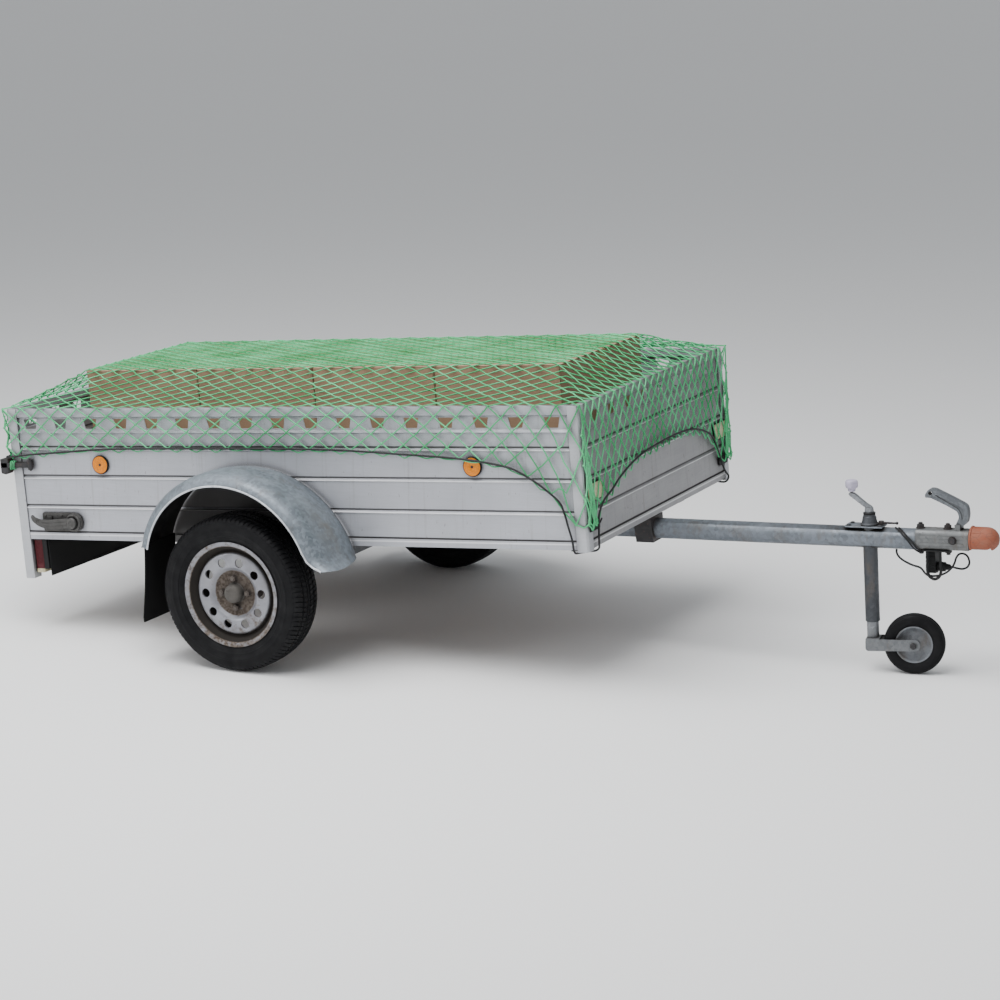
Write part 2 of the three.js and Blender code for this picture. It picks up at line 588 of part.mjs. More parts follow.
function coupling() {
  const shoulder = DRAWBAR.to + GAP;
  const neck = prism("x", [shoulder, BALL.x - 44], [
    [-33, -26], [33, -26], [36, -18], [36, 26], [27, 38], [-27, 38], [-36, 26], [-36, -18],
  ]);
  const head = joined(
    rod("x", [BALL.x - 46, BALL.x], [0, 6], 33, 33, 20),
    new THREE.SphereGeometry(33, 20, 10).translate(BALL.x, 0, 6),
  );
  const socket = joined(
    new THREE.SphereGeometry(BALL.radius, 16, 8).translate(BALL.x, 0, BALL.z),
    rod("z", [-60, BALL.z], [BALL.x, 0], BALL.radius, BALL.radius, 16),
  );
  const pocket = block([BALL.x - 46, BALL.x - 18], [-13, 13], [-60, 2]);
  const lug = (y) => block([HANDLE_PIVOT.x - 10, HANDLE_PIVOT.x + 8], y, [30, HANDLE_PIVOT.z + 8]);
  const body = cut(joined(neck, head, lug([-22, -15.6]), lug([15.6, 22])), socket, pocket);
  piece(drawbar, "coupling_body", body, GALVANISED);

  const jaw = prism("y", [-11, 11], [
    [BALL.x - 38, -24], [BALL.x - 29, -24], [BALL.x - 28, -12], [BALL.x - 30, -1], [BALL.x - 38, -1],
  ]);
  piece(drawbar, "coupling_jaw", jaw, DARK_STEEL);

  const { x, z } = HANDLE_PIVOT;
  const foot = rod("y", [-15, 15], [x, z], 10.4, 10.4, 16);
  const swanNeck = prism("y", [-15, 15], [
    [x, z - 9], [x + 10, z - 2], [1069, 62], [1073, 105], [1069, 119], [1057, 127], [961, 172], [944, 171],
    [931, 153], [932, 142], [948, 144], [1040, 99], [1044, 82], [x - 9, z + 5],
  ]);
  piece(drawbar, "coupling_handle", joined(foot, swanNeck), ZINC);

  // The bumper cap keeps clear of the handle's foot and is open underneath for the ball.
  const nose = BALL.x + 10;
  const cap = joined(
    rod("x", [nose - 52, nose], [0, 9], 40, 40, 20),
    new THREE.SphereGeometry(40, 20, 10).translate(nose, 0, 9),
  );
  const hollow = joined(
    rod("x", [nose - 60, BALL.x], [0, 6], 33 + 3 * GAP, 33 + 3 * GAP, 20),
    new THREE.SphereGeometry(33 + 3 * GAP, 20, 10).translate(BALL.x, 0, 6),
  );
  const openFoot = block([nose - 60, BALL.x + 27], [-27, 27], [-60, -12]);
  const below = block([nose - 60, nose + 60], [-60, 60], [-80, -26]);
  piece(drawbar, "coupling_bumper_cap", cut(cap, hollow, openFoot, below), FADED_ORANGE);
}

// Parking socket for the plug under the coupling, with a lashing eye, and the lead on its way to it.
function plugAndLead() {
  const lashingEye = [
    [941, -38, -29], [941, -38, -100], [948, -38, -116], [963, -38, -123], [978, -38, -116],
    [985, -38, -100], [985, -38, -29],
  ];
  const socket = joined(
    block([932, 962], [-22, 26], [-108, -27]),
    block([925, 1015], [-30, 26], [-31, -27]),
    tube(lashingEye, 5, 14),
    block([925, 1000], [-43, -29], [-31, -27]),
  );
  piece(drawbar, "plug_parking_socket", socket, BLACK_PLASTIC);
  const plug = joined(
    rod("x", [962 + GAP, 990], [4, -90], 15, 15, 20),
    rod("x", [989, 1006], [4, -90], 10, 7, 16),
  );
  piece(drawbar, "trailer_plug", plug, BLACK_PLASTIC);
  const lead = tube(LEAD_ROUTE, 3.5, 52);
  piece(drawbar, "trailer_lead", lead, BLACK_RUBBER);
}

// Centreline of the lead: out of the drawbar's underside, down in a long bight, up under the
// coupling, and down round into the plug.
const LEAD_ROUTE = [
  [827, -6, -35.6], [827, -7, -45], [832, -9, -56], [843, -12, -66], [862, -15, -76], [885, -17, -85],
  [910, -18, -92], [935, -26, -113], [962, -22, -116], [990, -20, -108], [1014, -24, -90],
  [1028, -27, -70], [1034, -26, -52], [1041, -21, -41], [1052, -13, -39], [1063, -6, -46],
  [1069, -1, -60], [1069, 2, -76], [1060, 4, -89], [1044, 5, -95], [1026, 4.5, -93],
  [1014, 4, -90.5], [1006.4, 4, -90],
];

// ---------------------------------------------------------------- load, net and edge rope
// Cartons in a row, each one closed block that stands for its board and what it holds.
function cartons() {
  const { x: [from, to], y, top, count, gap } = CARTONS;
  const pitch = (to - from + gap) / count;
  for (let i = 0; i < count; i++) {
    const x = from + i * pitch;
    const box = block([x, x + pitch - gap], y, [FLOOR.bottom + FLOOR.thick + GAP, top]);
    piece(trailer, `carton_${i + 1}`, box, CARDBOARD);
  }
}

// The net as a thin tent: flat on the cartons, sloping to the rails, and hanging outside the walls.
function net() {
  const out = BED.half + NET.out;
  const xs = [BED.rear - NET.out, CARTONS.x[0], CARTONS.x[1], BED.front + NET.out];
  const ys = [-out, CARTONS.y[0], CARTONS.y[1], out];
  const overLoad = (k) => k === 1 || k === 2;
  // Points on the net's skin, t outside its inner face.
  const layer = (t) => {
    const x = (i) => xs[i] + (i === 3 ? t : i === 0 ? -t : 0);
    const y = (j) => ys[j] + (j === 3 ? t : j === 0 ? -t : 0);
    const height = (i, j) => (overLoad(i) && overLoad(j) ? CARTONS.top : BED.top);
    const top = (i, j) => [x(i), y(j), height(i, j) + NET.clear + t];
    const across = (i) => ys.map((_, j) => top(i, j));
    const hem = (i, heights) => ys.map((_, j) => [x(i), y(j), heights[j]]);
    return {
      sides: xs.map((_, i) => [[x(i), y(0), NET.sideHem[i]], ...across(i), [x(i), y(3), NET.sideHem[i]]]),
      front: [across(3), hem(3, NET.frontHem)],
      rear: [hem(0, NET.rearHem), across(0)],
    };
  };
  const over = layer(NET.thick);
  const under = layer(0);
  const tent = joined(...["sides", "front", "rear"].map((part) => skin(over[part], under[part])));
  piece(trailer, "cargo_net", tent, NET_GREEN);
}

// Elastic rope through the net's edge meshes, hooked under the foot of each front post.
function edgeRope() {
  const r = ROPE_RADIUS;
  const y = BED.half + NET.out + NET.thick + r + GAP;
  const x = BED.front + NET.out + NET.thick + r + GAP;
  const alongSide = [
    [-988, -y, 702.4], [-920, -y, 708], [-793, -y, 716], [-618, -y, 727], [-407, -y, 730], [0, -y, 731],
    [356, -y, 727], [584, -y, 714], [805, -y, 699], [941, -y, 680], [1000, -y, 665], [1046, -y, 641],
    [1085, -y, 617], [1124, -y, 587], [1158, -y, 556], [1171, -y, 520], [1180, -y, 481], [1190, -y, 438],
  ];
  const underPost = [
    [1189, -y, 441], [1193, -y, 415], [1193, -631, 398], [1193, -619, 387], [1196, -601, 384],
    [1206, -585, 383.5], [1225, -571, 384], [1243, -566, 386], [1253, -567, 394], [x, -569, 408],
  ];
  const acrossFront = [
    [x, -569, 406], [x, -568, 422], [x, -565, 445], [x, -551, 503], [x, -510, 538], [x, -434, 563],
    [x, -362, 591], [x, -204, 628], [x, -3, 641], [x, 145, 642], [x, 264, 633], [x, 353, 613],
    [x, 440, 576], [x, 491, 506], [x, 528, 445], [x, 558, 416], [x, 569, 406],
  ];
  const rear = BED.rear - NET.out - NET.thick - r - GAP;
  const roundCorner = [
    [-985, -y, 702], [-1012, -y, 700], [rear + 4, -y + 4, 699], [rear, -y + 22, 699], [rear, -575, 700],
  ];
  const acrossRear = [[rear, -577, 700], [rear, -420, 703], [rear, 0, 705]];
  const mirrored = (points) => points.map(([a, b, c]) => [a, -b, c]).reverse();
  const whole = (half) => [...half, ...mirrored(half).slice(1)];
  const rope = joined(
    tube(alongSide, r, 16), tube(underPost, r, 12), tube(acrossFront, r, 24),
    tube(mirrored(underPost), r, 12), tube(mirrored(alongSide), r, 14), tube(whole(acrossRear), r, 10),
    tube(roundCorner, r, 9), tube(mirrored(roundCorner), r, 9),
  );
  piece(trailer, "net_edge_rope", rope, BLACK_RUBBER);
}

// ---------------------------------------------------------------- assembly
sideWalls();
endWalls();
cornerPosts();
floorPanel();
frameRails();
drawbarCrossmember();
lampBoard();
sideReflectors();
axleAndWheels();
mudguards();
bothSides(trailer, cornerLatch);
bothSides(trailer, camLatch);
drawbarTube();
const centre = jockeyCentre();
jockeyTubes(centre);
jockeyCrank();
jockeyClampLever();
jockeyWheel(centre);
coupling();
plugAndLead();
cartons();
net();
edgeRope();

// Pitch the trailer about its axle and bring the bottom centre of its box to the origin.
const parked = new THREE.Group();
trailer.position.z = -TYRE.radius;
parked.rotation.y = -NOSE_UP;
parked.position.z = TYRE.radius;
parked.add(trailer);
const whole = new THREE.Group();
whole.add(parked);
whole.updateMatrixWorld(true);
const bounds = new THREE.Box3().setFromObject(whole, true);
const middle = bounds.getCenter(new THREE.Vector3());
parked.position.x -= middle.x;
parked.position.y -= middle.y;
parked.position.z -= bounds.min.z;

export default whole;
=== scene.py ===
"""The looks of the parked box trailer with its netted load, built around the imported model.

Lengths are in millimetres in the trailer's own frames: LEVEL is the bed's frame, pitched nose-up about
the axle, BAR runs along the drawbar and SWIVEL along the jockey wheel's fork. They are turned into the
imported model's frame, in metres, as each mesh is made.
"""
import math

import bmesh
import bpy
import numpy as np
from mathutils import Matrix, Vector


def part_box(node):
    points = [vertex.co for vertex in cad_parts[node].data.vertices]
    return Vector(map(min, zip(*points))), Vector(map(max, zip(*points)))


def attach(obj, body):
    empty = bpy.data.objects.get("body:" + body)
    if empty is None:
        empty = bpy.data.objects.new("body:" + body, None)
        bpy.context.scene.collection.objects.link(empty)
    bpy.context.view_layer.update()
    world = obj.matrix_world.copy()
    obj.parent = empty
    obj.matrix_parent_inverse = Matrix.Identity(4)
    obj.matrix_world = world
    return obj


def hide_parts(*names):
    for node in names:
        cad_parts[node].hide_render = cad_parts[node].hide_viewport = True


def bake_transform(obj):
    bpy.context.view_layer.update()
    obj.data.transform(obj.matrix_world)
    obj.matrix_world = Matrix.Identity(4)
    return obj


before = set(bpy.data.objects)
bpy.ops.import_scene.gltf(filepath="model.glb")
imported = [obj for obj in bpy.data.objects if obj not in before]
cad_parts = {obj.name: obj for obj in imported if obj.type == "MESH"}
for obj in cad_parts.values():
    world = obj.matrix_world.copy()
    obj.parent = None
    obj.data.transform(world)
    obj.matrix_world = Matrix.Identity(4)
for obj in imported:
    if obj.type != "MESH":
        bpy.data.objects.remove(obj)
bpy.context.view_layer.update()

# ---------------------------------------------------------------- the trailer's frames and sizes
NOSE_UP = math.radians(4.0)
BAR_SLOPE = math.radians(1.45)
MM = Matrix.Scale(0.001, 4)
BED_FRONT = 1241
BED_SIDE = 619
WHEEL_Y = 774
TYRE_RADIUS = 269
JOCKEY_X = 735
TRAIL = 137
HEADING = math.radians(10)
BALL_X = 1122


def centre_of(node):
    low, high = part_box(node)
    return (low + high) / 2


AXLE_CENTRE = (centre_of("right_tyre") + centre_of("left_tyre")) / 2
LEVEL = (
    Matrix.Translation(AXLE_CENTRE)
    @ Matrix.Rotation(-NOSE_UP, 4, "Y")
    @ MM
    @ Matrix.Translation((0, 0, -TYRE_RADIUS))
)
BAR = LEVEL @ Matrix.Translation((BED_FRONT, 0, 337)) @ Matrix.Rotation(BAR_SLOPE, 4, "Y")
WHEEL_TOP = BAR.inverted() @ centre_of("jockey_tyre")
SWIVEL = BAR @ Matrix.Translation((JOCKEY_X, 0, WHEEL_TOP.z)) @ Matrix.Rotation(HEADING, 4, "Z")
MIRROR = Matrix.Scale(-1, 4, (0, 1, 0))
SIDES = {"right": Matrix.Identity(4), "left": MIRROR}
BED_UP = LEVEL.to_3x3().col[2].normalized()
PLANK_JOINTS = (0.4255, 0.522, 0.630, 0.734)
WHEEL_ARCH = LEVEL @ Vector((-15, 0, 268))


# ---------------------------------------------------------------- camera, light and floor
CAMERA_PLACE = Vector((4804, -8115, 2154))
CAMERA_TURN = (27.3, 10.7, -4.8)  # azimuth, elevation and roll in the bed's frame, degrees


def add_camera():
    azimuth, elevation, roll = (math.radians(a) for a in CAMERA_TURN)
    level = math.cos(elevation)
    back = Vector((math.sin(azimuth) * level, -math.cos(azimuth) * level, math.sin(elevation)))
    right = Vector((0, 0, 1)).cross(back).normalized()
    up = back.cross(right)
    turned_right = right * math.cos(roll) + up * math.sin(roll)
    turned_up = up * math.cos(roll) - right * math.sin(roll)
    data = bpy.data.cameras.new("camera")
    data.sensor_width = 36
    data.lens = 94.78
    data.clip_end = 60
    camera = bpy.data.objects.new("camera", data)
    bpy.context.scene.collection.objects.link(camera)
    tilt = Matrix.Rotation(-NOSE_UP, 3, "Y")
    axes = Matrix((tilt @ turned_right, tilt @ turned_up, tilt @ back)).transposed()
    camera.matrix_world = Matrix.Translation(LEVEL @ CAMERA_PLACE) @ axes.to_4x4()
    bpy.context.scene.camera = camera


def add_light(name, place, size, power, target=(0, 0, 0.4)):
    data = bpy.data.lights.new(name, "AREA")
    data.shape = "RECTANGLE"
    data.size, data.size_y = size
    data.energy = power
    light = bpy.data.objects.new(name, data)
    bpy.context.scene.collection.objects.link(light)
    light.location = place
    light.rotation_euler = (Vector(target) - Vector(place)).to_track_quat("-Z", "Y").to_euler()


def add_studio():
    world = bpy.data.worlds.new("studio")
    world.use_nodes = True
    world.node_tree.nodes["Background"].inputs["Color"].default_value = (0.94, 0.97, 1.0, 1)
    world.node_tree.nodes["Background"].inputs["Strength"].default_value = 0.5
    bpy.context.scene.world = world
    add_light("overhead", (-0.8, -1.8, 5.6), (6, 4), 560)
    add_light("front_left", (-6.0, -6.5, 3.4), (3, 2.5), 210)
    add_light("front_right", (6.5, -5.0, 3.0), (3, 3), 45)
    bowl = [(0, 0), (14, 0), (22, 0), (28, 0.5), (33, 2.2), (37, 5.5), (40, 10)]
    bowl += [(r + 0.2, z - 0.3) for r, z in reversed(bowl[1:])] + [(0, -0.3)]
    floor = piece(
        "floor", *lathe(bowl, axis="z", sides=96), plain("floor", (0.9, 0.9, 0.9), 0.9),
        Matrix.Identity(4),
    )


# ---------------------------------------------------------------- node materials
class Shader:
    """A material's node tree around one Principled shader, in the part's own coordinates (metres)."""

    def __init__(self, name, roughness=0.5, metallic=0.0):
        self.material = bpy.data.materials.new(name)
        self.material.use_nodes = True
        self.tree = self.material.node_tree
        self.surface = self.tree.nodes["Principled BSDF"]
        self.surface.inputs["Roughness"].default_value = roughness
        self.surface.inputs["Metallic"].default_value = metallic
        self.place = self.add("ShaderNodeTexCoord").outputs["Object"]

    def add(self, kind, **settings):
        node = self.tree.nodes.new(kind)
        for key, value in settings.items():
            setattr(node, key, value)
        return node

    def feed(self, socket, value):
        if isinstance(value, bpy.types.NodeSocket):
            self.tree.links.new(value, socket)
        else:
            socket.default_value = (*value, 1.0) if isinstance(value, tuple) and len(
                value
            ) == 3 else value

    def stretched(self, x, y, z):
        node = self.add("ShaderNodeMapping")
        self.feed(node.inputs["Vector"], self.place)
        node.inputs["Scale"].default_value = (x, y, z)
        return node.outputs["Vector"]

    def distance(self, place, axes):
        """How far a point is from a place, in metres, along the axes whose weight is 1."""
        gap = self.add("ShaderNodeVectorMath", operation="DISTANCE")
        self.feed(gap.inputs[0], self.stretched(*axes))
        gap.inputs[1].default_value = [c * a for c, a in zip(place, axes)]
        return gap.outputs["Value"]

    def height_in_bed(self):
        """Height above the ground in the pitched bed's own frame, in metres."""
        up = self.add("ShaderNodeVectorMath", operation="DOT_PRODUCT")
        self.feed(up.inputs[0], self.place)
        up.inputs[1].default_value = BED_UP
        return self.maths("SUBTRACT", up.outputs["Value"], BED_UP.dot(LEVEL.translation))

    def noise(self, scale, detail=4.0, roughness=0.55, vector=None):
        node = self.add("ShaderNodeTexNoise")
        self.feed(node.inputs["Vector"], vector or self.place)
        node.inputs["Scale"].default_value = scale
        node.inputs["Detail"].default_value = detail
        node.inputs["Roughness"].default_value = roughness
        return node.outputs["Fac"]

    def cells(self, scale, output="Color", vector=None, feature="F1"):
        node = self.add("ShaderNodeTexVoronoi", feature=feature)
        self.feed(node.inputs["Vector"], vector or self.place)
        node.inputs["Scale"].default_value = scale
        return node.outputs[output]

    def wave(self, scale, direction="X"):
        node = self.add("ShaderNodeTexWave", bands_direction=direction)
        self.feed(node.inputs["Vector"], self.place)
        node.inputs["Scale"].default_value = scale
        return node.outputs["Fac"]

    def span(self, value, low, high, to_low=0.0, to_high=1.0):
        node = self.add("ShaderNodeMapRange")
        self.feed(node.inputs["Value"], value)
        for name, number in (
            ("From Min", low), ("From Max", high), ("To Min", to_low), ("To Max", to_high),
        ):
            node.inputs[name].default_value = number
        return node.outputs["Result"]

    def maths(self, operation, a, b):
        node = self.add("ShaderNodeMath", operation=operation)
        self.feed(node.inputs[0], a)
        self.feed(node.inputs[1], b)
        return node.outputs["Value"]

    def mix(self, factor, a, b):
        node = self.add("ShaderNodeMix", data_type="RGBA")
        self.feed(node.inputs["Factor"], factor)
        self.feed(node.inputs[6], a)
        self.feed(node.inputs[7], b)
        return node.outputs[2]

    def attribute(self, name):
        return self.add("ShaderNodeAttribute", attribute_name=name).outputs["Fac"]

    def occlusion_shade(self):
        """Painted shade: 0 on open faces, towards 1 in grooves and under overhangs, from ambient occlusion.
        """
        node = self.add("ShaderNodeAmbientOcclusion", samples=4)
        node.inputs["Distance"].default_value = 0.03
        return self.span(node.outputs["AO"], 0.85, 0.35)

    def bump(self, height, strength=0.3, distance=0.001):
        node = self.add("ShaderNodeBump")
        node.inputs["Strength"].default_value = strength
        node.inputs["Distance"].default_value = distance
        self.feed(node.inputs["Height"], height)
        if self.surface.inputs["Normal"].is_linked:
            self.feed(node.inputs["Normal"], self.surface.inputs["Normal"].links[0].from_socket)
        self.tree.links.new(node.outputs["Normal"], self.surface.inputs["Normal"])

    def colour(self, value):
        self.feed(self.surface.inputs["Base Color"], value)

    def rough(self, value):
        self.feed(self.surface.inputs["Roughness"], value)


def shade(colour, factor):
    return tuple(c * factor for c in colour)


def plain(name, colour, roughness):
    shader = Shader(name, roughness)
    shader.colour(colour)
    return shader.material


def aluminium(name, base, streaks=1.0, joints=()):
    """Satin extruded planks with fine lengthwise brushing, water streaks, dark joint lines, a painted
    highlight along each plank's ridge, dirt and painted shade behind the wheel arch, and painted shade in
    the grooves.
    """
    s = Shader(name, metallic=0.35)
    brushing = s.noise(30, 3, vector=s.stretched(0.4, 0.4, 22))
    runs = s.noise(7, 5, 0.65, vector=s.stretched(9, 9, 0.35))
    patches = s.noise(2.6, 5, 0.6)
    clean = s.mix(s.span(brushing, 0.35, 0.65), base, shade(base, 1.09))
    milky = s.mix(s.span(patches, 0.42, 0.68, 0, 0.45), clean, shade(base, 0.84))
    grime = (0.19, 0.17, 0.15)
    streaked = s.mix(s.span(runs, 0.56, 0.74, 0, 0.36 * streaks), milky, grime)
    specks = s.noise(130, 2, vector=s.stretched(1, 1, 0.35))
    spotted = s.mix(s.span(specks, 0.69, 0.76, 0, 0.55 * streaks), streaked, (0.12, 0.1, 0.09))
    lined = spotted
    height = s.height_in_bed()
    for joint in joints:
        rise = s.maths("SUBTRACT", height, joint)
        # Painted highlight: a pale band 11 mm below each joint, where the up-facing ridge catches the
        # overhead light.
        ridge_highlight = s.maths("ABSOLUTE", s.maths("ADD", rise, 0.011), 0.0)
        lined = s.mix(s.span(ridge_highlight, 0.0018, 0.0032, 0.7, 0.0), lined, (0.78, 0.78, 0.8))
        groove = s.maths("ABSOLUTE", rise, 0.0)
        lined = s.mix(s.span(groove, 0.0022, 0.0042, 0.8, 0.0), lined, (0.03, 0.027, 0.025))
    # Dirt and painted shade: the outer wall face inside the wheel arch is darkened almost to black.
    arch = s.span(s.distance(WHEEL_ARCH, (1, 0, 1)), 0.388, 0.397, 1, 0)
    outside = s.span(s.distance((0, 0, 0), (0, 1, 0)), 0.612, 0.614, 0, 0.9)
    soot_and_arch_shade = s.mix(s.maths("MULTIPLY", arch, outside), lined, (0.045, 0.04, 0.036))
    # Painted shade in grooves and under overhangs.
    s.colour(s.mix(s.occlusion_shade(), soot_and_arch_shade, (0.045, 0.04, 0.038)))
    s.rough(s.span(s.noise(14), 0.3, 0.7, 0.42, 0.62))
    s.bump(brushing, 0.06, 0.0004)
    s.bump(s.noise(3, 2), 0.12, 0.003)
    return s.material


def galvanised(name, base, dirt):
    """Hot-dip zinc: a patchwork of spangles under a chalky film, with rusty dirt settled on it, road dirt
    and near black dirt and painted shade where the per-vertex attribute is high, and painted shade in its
    recesses.
    """
    s = Shader(name, metallic=0.45)
    spangle = s.cells(95)
    grey = s.add("ShaderNodeRGBToBW")
    s.feed(grey.inputs["Color"], spangle)
    facets = s.mix(s.span(grey.outputs["Val"], 0.2, 0.8), shade(base, 0.78), shade(base, 1.25))
    film = s.span(s.noise(9, 6, 0.62), 0.38, 0.66)
    chalky = s.mix(s.maths("MULTIPLY", film, 0.6), facets, tuple(c * 1.35 + 0.02 for c in base))
    stain = s.span(s.noise(16, 6, 0.7, vector=s.stretched(1, 1, 0.4)), 0.54, 0.72, 0, dirt)
    stained = s.mix(stain, chalky, (0.13, 0.105, 0.08))
    wear_and_shade = s.attribute("wear_and_shade")
    patchy = s.maths("MULTIPLY", s.span(wear_and_shade, 0.0, 0.5), s.span(s.noise(24, 6, 0.7), 0.36, 0.6))
    road_dirt = s.mix(s.maths("MULTIPLY", patchy, 0.75), stained, (0.15, 0.14, 0.12))
    # Dirt and painted shade: near black where the per-vertex attribute is high, on the mudguard's inner
    # face.
    underside_dirt_and_shade = s.mix(s.span(wear_and_shade, 0.6, 0.95), road_dirt, (0.012, 0.011, 0.011))
    # Painted shade in recesses.
    s.colour(s.mix(s.occlusion_shade(), underside_dirt_and_shade, (0.05, 0.045, 0.04)))
    s.rough(s.span(film, 0, 1, 0.42, 0.72))
    s.bump(s.noise(60, 4), 0.12, 0.0008)
    return s.material


def painted(name, base, chip, roughness, metallic, amount):
    """Paint or plate worn through in flecks, with painted shade in its corners."""
    s = Shader(name, roughness, metallic)
    tone = s.mix(s.span(s.noise(22, 5), 0.35, 0.7), base, shade(base, 0.72))
    flecks = s.span(s.noise(70, 6, 0.7), 0.58, 0.66, 0, amount)
    # Painted shade in the corners.
    s.colour(s.mix(s.occlusion_shade(), s.mix(flecks, tone, chip), shade(chip, 0.25)))
    s.rough(s.span(s.noise(40), 0.3, 0.7, roughness - 0.1, roughness + 0.15))
    s.bump(s.noise(90, 5), 0.2, 0.0006)
    return s.material


def rim_paint():
    """Silver wheel paint, rust-blistered where the per-vertex attribute is high, darkened towards black by
    dirt and painted shade where it is highest, with painted shade in its recesses.
    """
    s = Shader("rim_paint", metallic=0.4)
    tone = s.mix(s.span(s.noise(18, 5), 0.4, 0.7), (0.26, 0.265, 0.29), (0.19, 0.19, 0.21))
    wear_and_shade = s.attribute("wear_and_shade")
    blisters = s.noise(48, 7, 0.72)
    rusting = s.span(wear_and_shade, 0, 1, 0, 0.42)
    rust = s.span(s.maths("ADD", blisters, rusting), 0.62, 0.82)
    rust_colour = s.mix(s.span(s.noise(120), 0.4, 0.6), (0.17, 0.14, 0.115), (0.075, 0.055, 0.043))
    dirt = s.span(s.noise(11, 5), 0.5, 0.75, 0, 0.4)
    dirty = s.mix(dirt, tone, (0.2, 0.18, 0.17))
    # Dirt and painted shade: towards black where the attribute is over 1.3, fully in the barrel and partly
    # at the centre.
    well_dirt_and_shade = s.mix(s.span(wear_and_shade, 1.3, 1.8), s.mix(rust, dirty, rust_colour), (0.02, 0.016, 0.013))
    # Painted shade in recesses.
    s.colour(s.mix(s.occlusion_shade(), well_dirt_and_shade, (0.03, 0.025, 0.022)))
    s.rough(s.span(rust, 0, 1, 0.4, 0.85))
    s.bump(rust, 0.35, 0.0008)
    return s.material


def tyre_rubber():
    """Black rubber, greyed by dust on the sidewall and dry in the tread."""
    s = Shader("tyre_rubber", 0.7)
    s.surface.inputs["Specular IOR Level"].default_value = 0.22
    dust = s.span(s.noise(9, 6, 0.65), 0.45, 0.75, 0, 0.4)
    worn = s.mix(s.attribute("wear_and_shade"), (0.0018, 0.0018, 0.0026), (0.0045, 0.0045, 0.0055))
    s.colour(s.mix(dust, worn, (0.0075, 0.0073, 0.008)))
    s.rough(s.span(s.noise(26, 4), 0.3, 0.7, 0.55, 0.82))
    s.bump(s.noise(220, 3), 0.15, 0.0005)
    return s.material


def soft_plastic(name, base, roughness, mottle):
    s = Shader(name, roughness)
    s.surface.inputs["Specular IOR Level"].default_value = 0.25
    s.colour(s.mix(s.span(s.noise(14, 5), 0.4, 0.7, 0, mottle), base, shade(base, 0.45)))
    s.bump(s.noise(260, 3), 0.2, 0.0004)
    return s.material


def faded_plastic():
    """Orange moulding bleached pink-grey by the sun, with cracks and knocks."""
    s = Shader("faded_orange", 0.75)
    tone = s.mix(s.span(s.noise(17, 6, 0.65), 0.35, 0.68), (0.27, 0.055, 0.02), (0.27, 0.1, 0.06))
    cracks = s.cells(36, "Distance", vector=s.stretched(0.8, 1, 1.4), feature="DISTANCE_TO_EDGE")
    line = s.span(cracks, 0.0, 0.035, 0.75, 0)
    knocks = s.span(s.noise(60, 6, 0.7), 0.6, 0.68, 0, 0.8)
    s.colour(s.mix(knocks, s.mix(line, tone, (0.16, 0.06, 0.04)), (0.1, 0.06, 0.05)))
    s.bump(s.span(cracks, 0, 0.05), 0.4, 0.0008)
    return s.material


def lens(name, base, pitch):
    """Moulded reflector plastic: glossy outside, a honeycomb of prisms inside."""
    s = Shader(name, 0.4)
    prisms = s.cells(pitch, "Distance")
    s.colour(s.mix(s.span(prisms, 0.1, 0.6), base, shade(base, 0.72)))
    s.surface.inputs["Specular IOR Level"].default_value = 0.25
    s.surface.inputs["Coat Weight"].default_value = 0.15
    s.surface.inputs["Coat Roughness"].default_value = 0.12
    s.bump(prisms, 0.5, 0.0008)
    return s.material


def cardboard():
    """Brown kraft liner: soft fibre mottling, faint flute lines and scuffs."""
    s = Shader("kraft_cardboard", 0.85)
    fibre = s.noise(160, 4, 0.6, vector=s.stretched(1, 1, 3))
    tone = s.mix(s.span(s.noise(5, 4), 0.35, 0.7), (0.35, 0.225, 0.14), (0.28, 0.178, 0.11))
    speckled = s.mix(s.span(fibre, 0.5, 0.75, 0, 0.4), tone, (0.15, 0.092, 0.058))
    s.colour(s.mix(s.attribute("wear_and_shade"), speckled, (0.42, 0.29, 0.19)))
    s.bump(s.wave(52, "X"), 0.05, 0.0005)
    s.bump(fibre, 0.12, 0.0003)
    return s.material


def plywood():
    """Dark film-faced plywood with a wire-mesh press pattern."""
    s = Shader("film_faced_ply", 0.6)
    grain = s.noise(9, 6, 0.6, vector=s.stretched(0.5, 8, 8))
    s.colour(s.mix(s.span(grain, 0.35, 0.7), (0.11, 0.065, 0.04), (0.2, 0.125, 0.075)))
    s.bump(s.cells(220, "Distance"), 0.15, 0.0004)
    return s.material


def twine(name, base, tint):
    """Twisted twine: strands at a slant along the cord, with painted shade between the strands, lighter
    where it rubs.
    """
    s = Shader(name, 0.62)
    lay = s.wave(210, "DIAGONAL")
    tone = s.mix(s.span(s.noise(6, 3), 0.35, 0.65), base, tint)
    # Painted shade: darker in the grooves between the twisted strands.
    s.colour(s.mix(s.span(lay, 0.2, 0.8, 0.5, 0), tone, shade(base, 0.45)))
    s.bump(lay, 0.5, 0.0006)
    return s.material


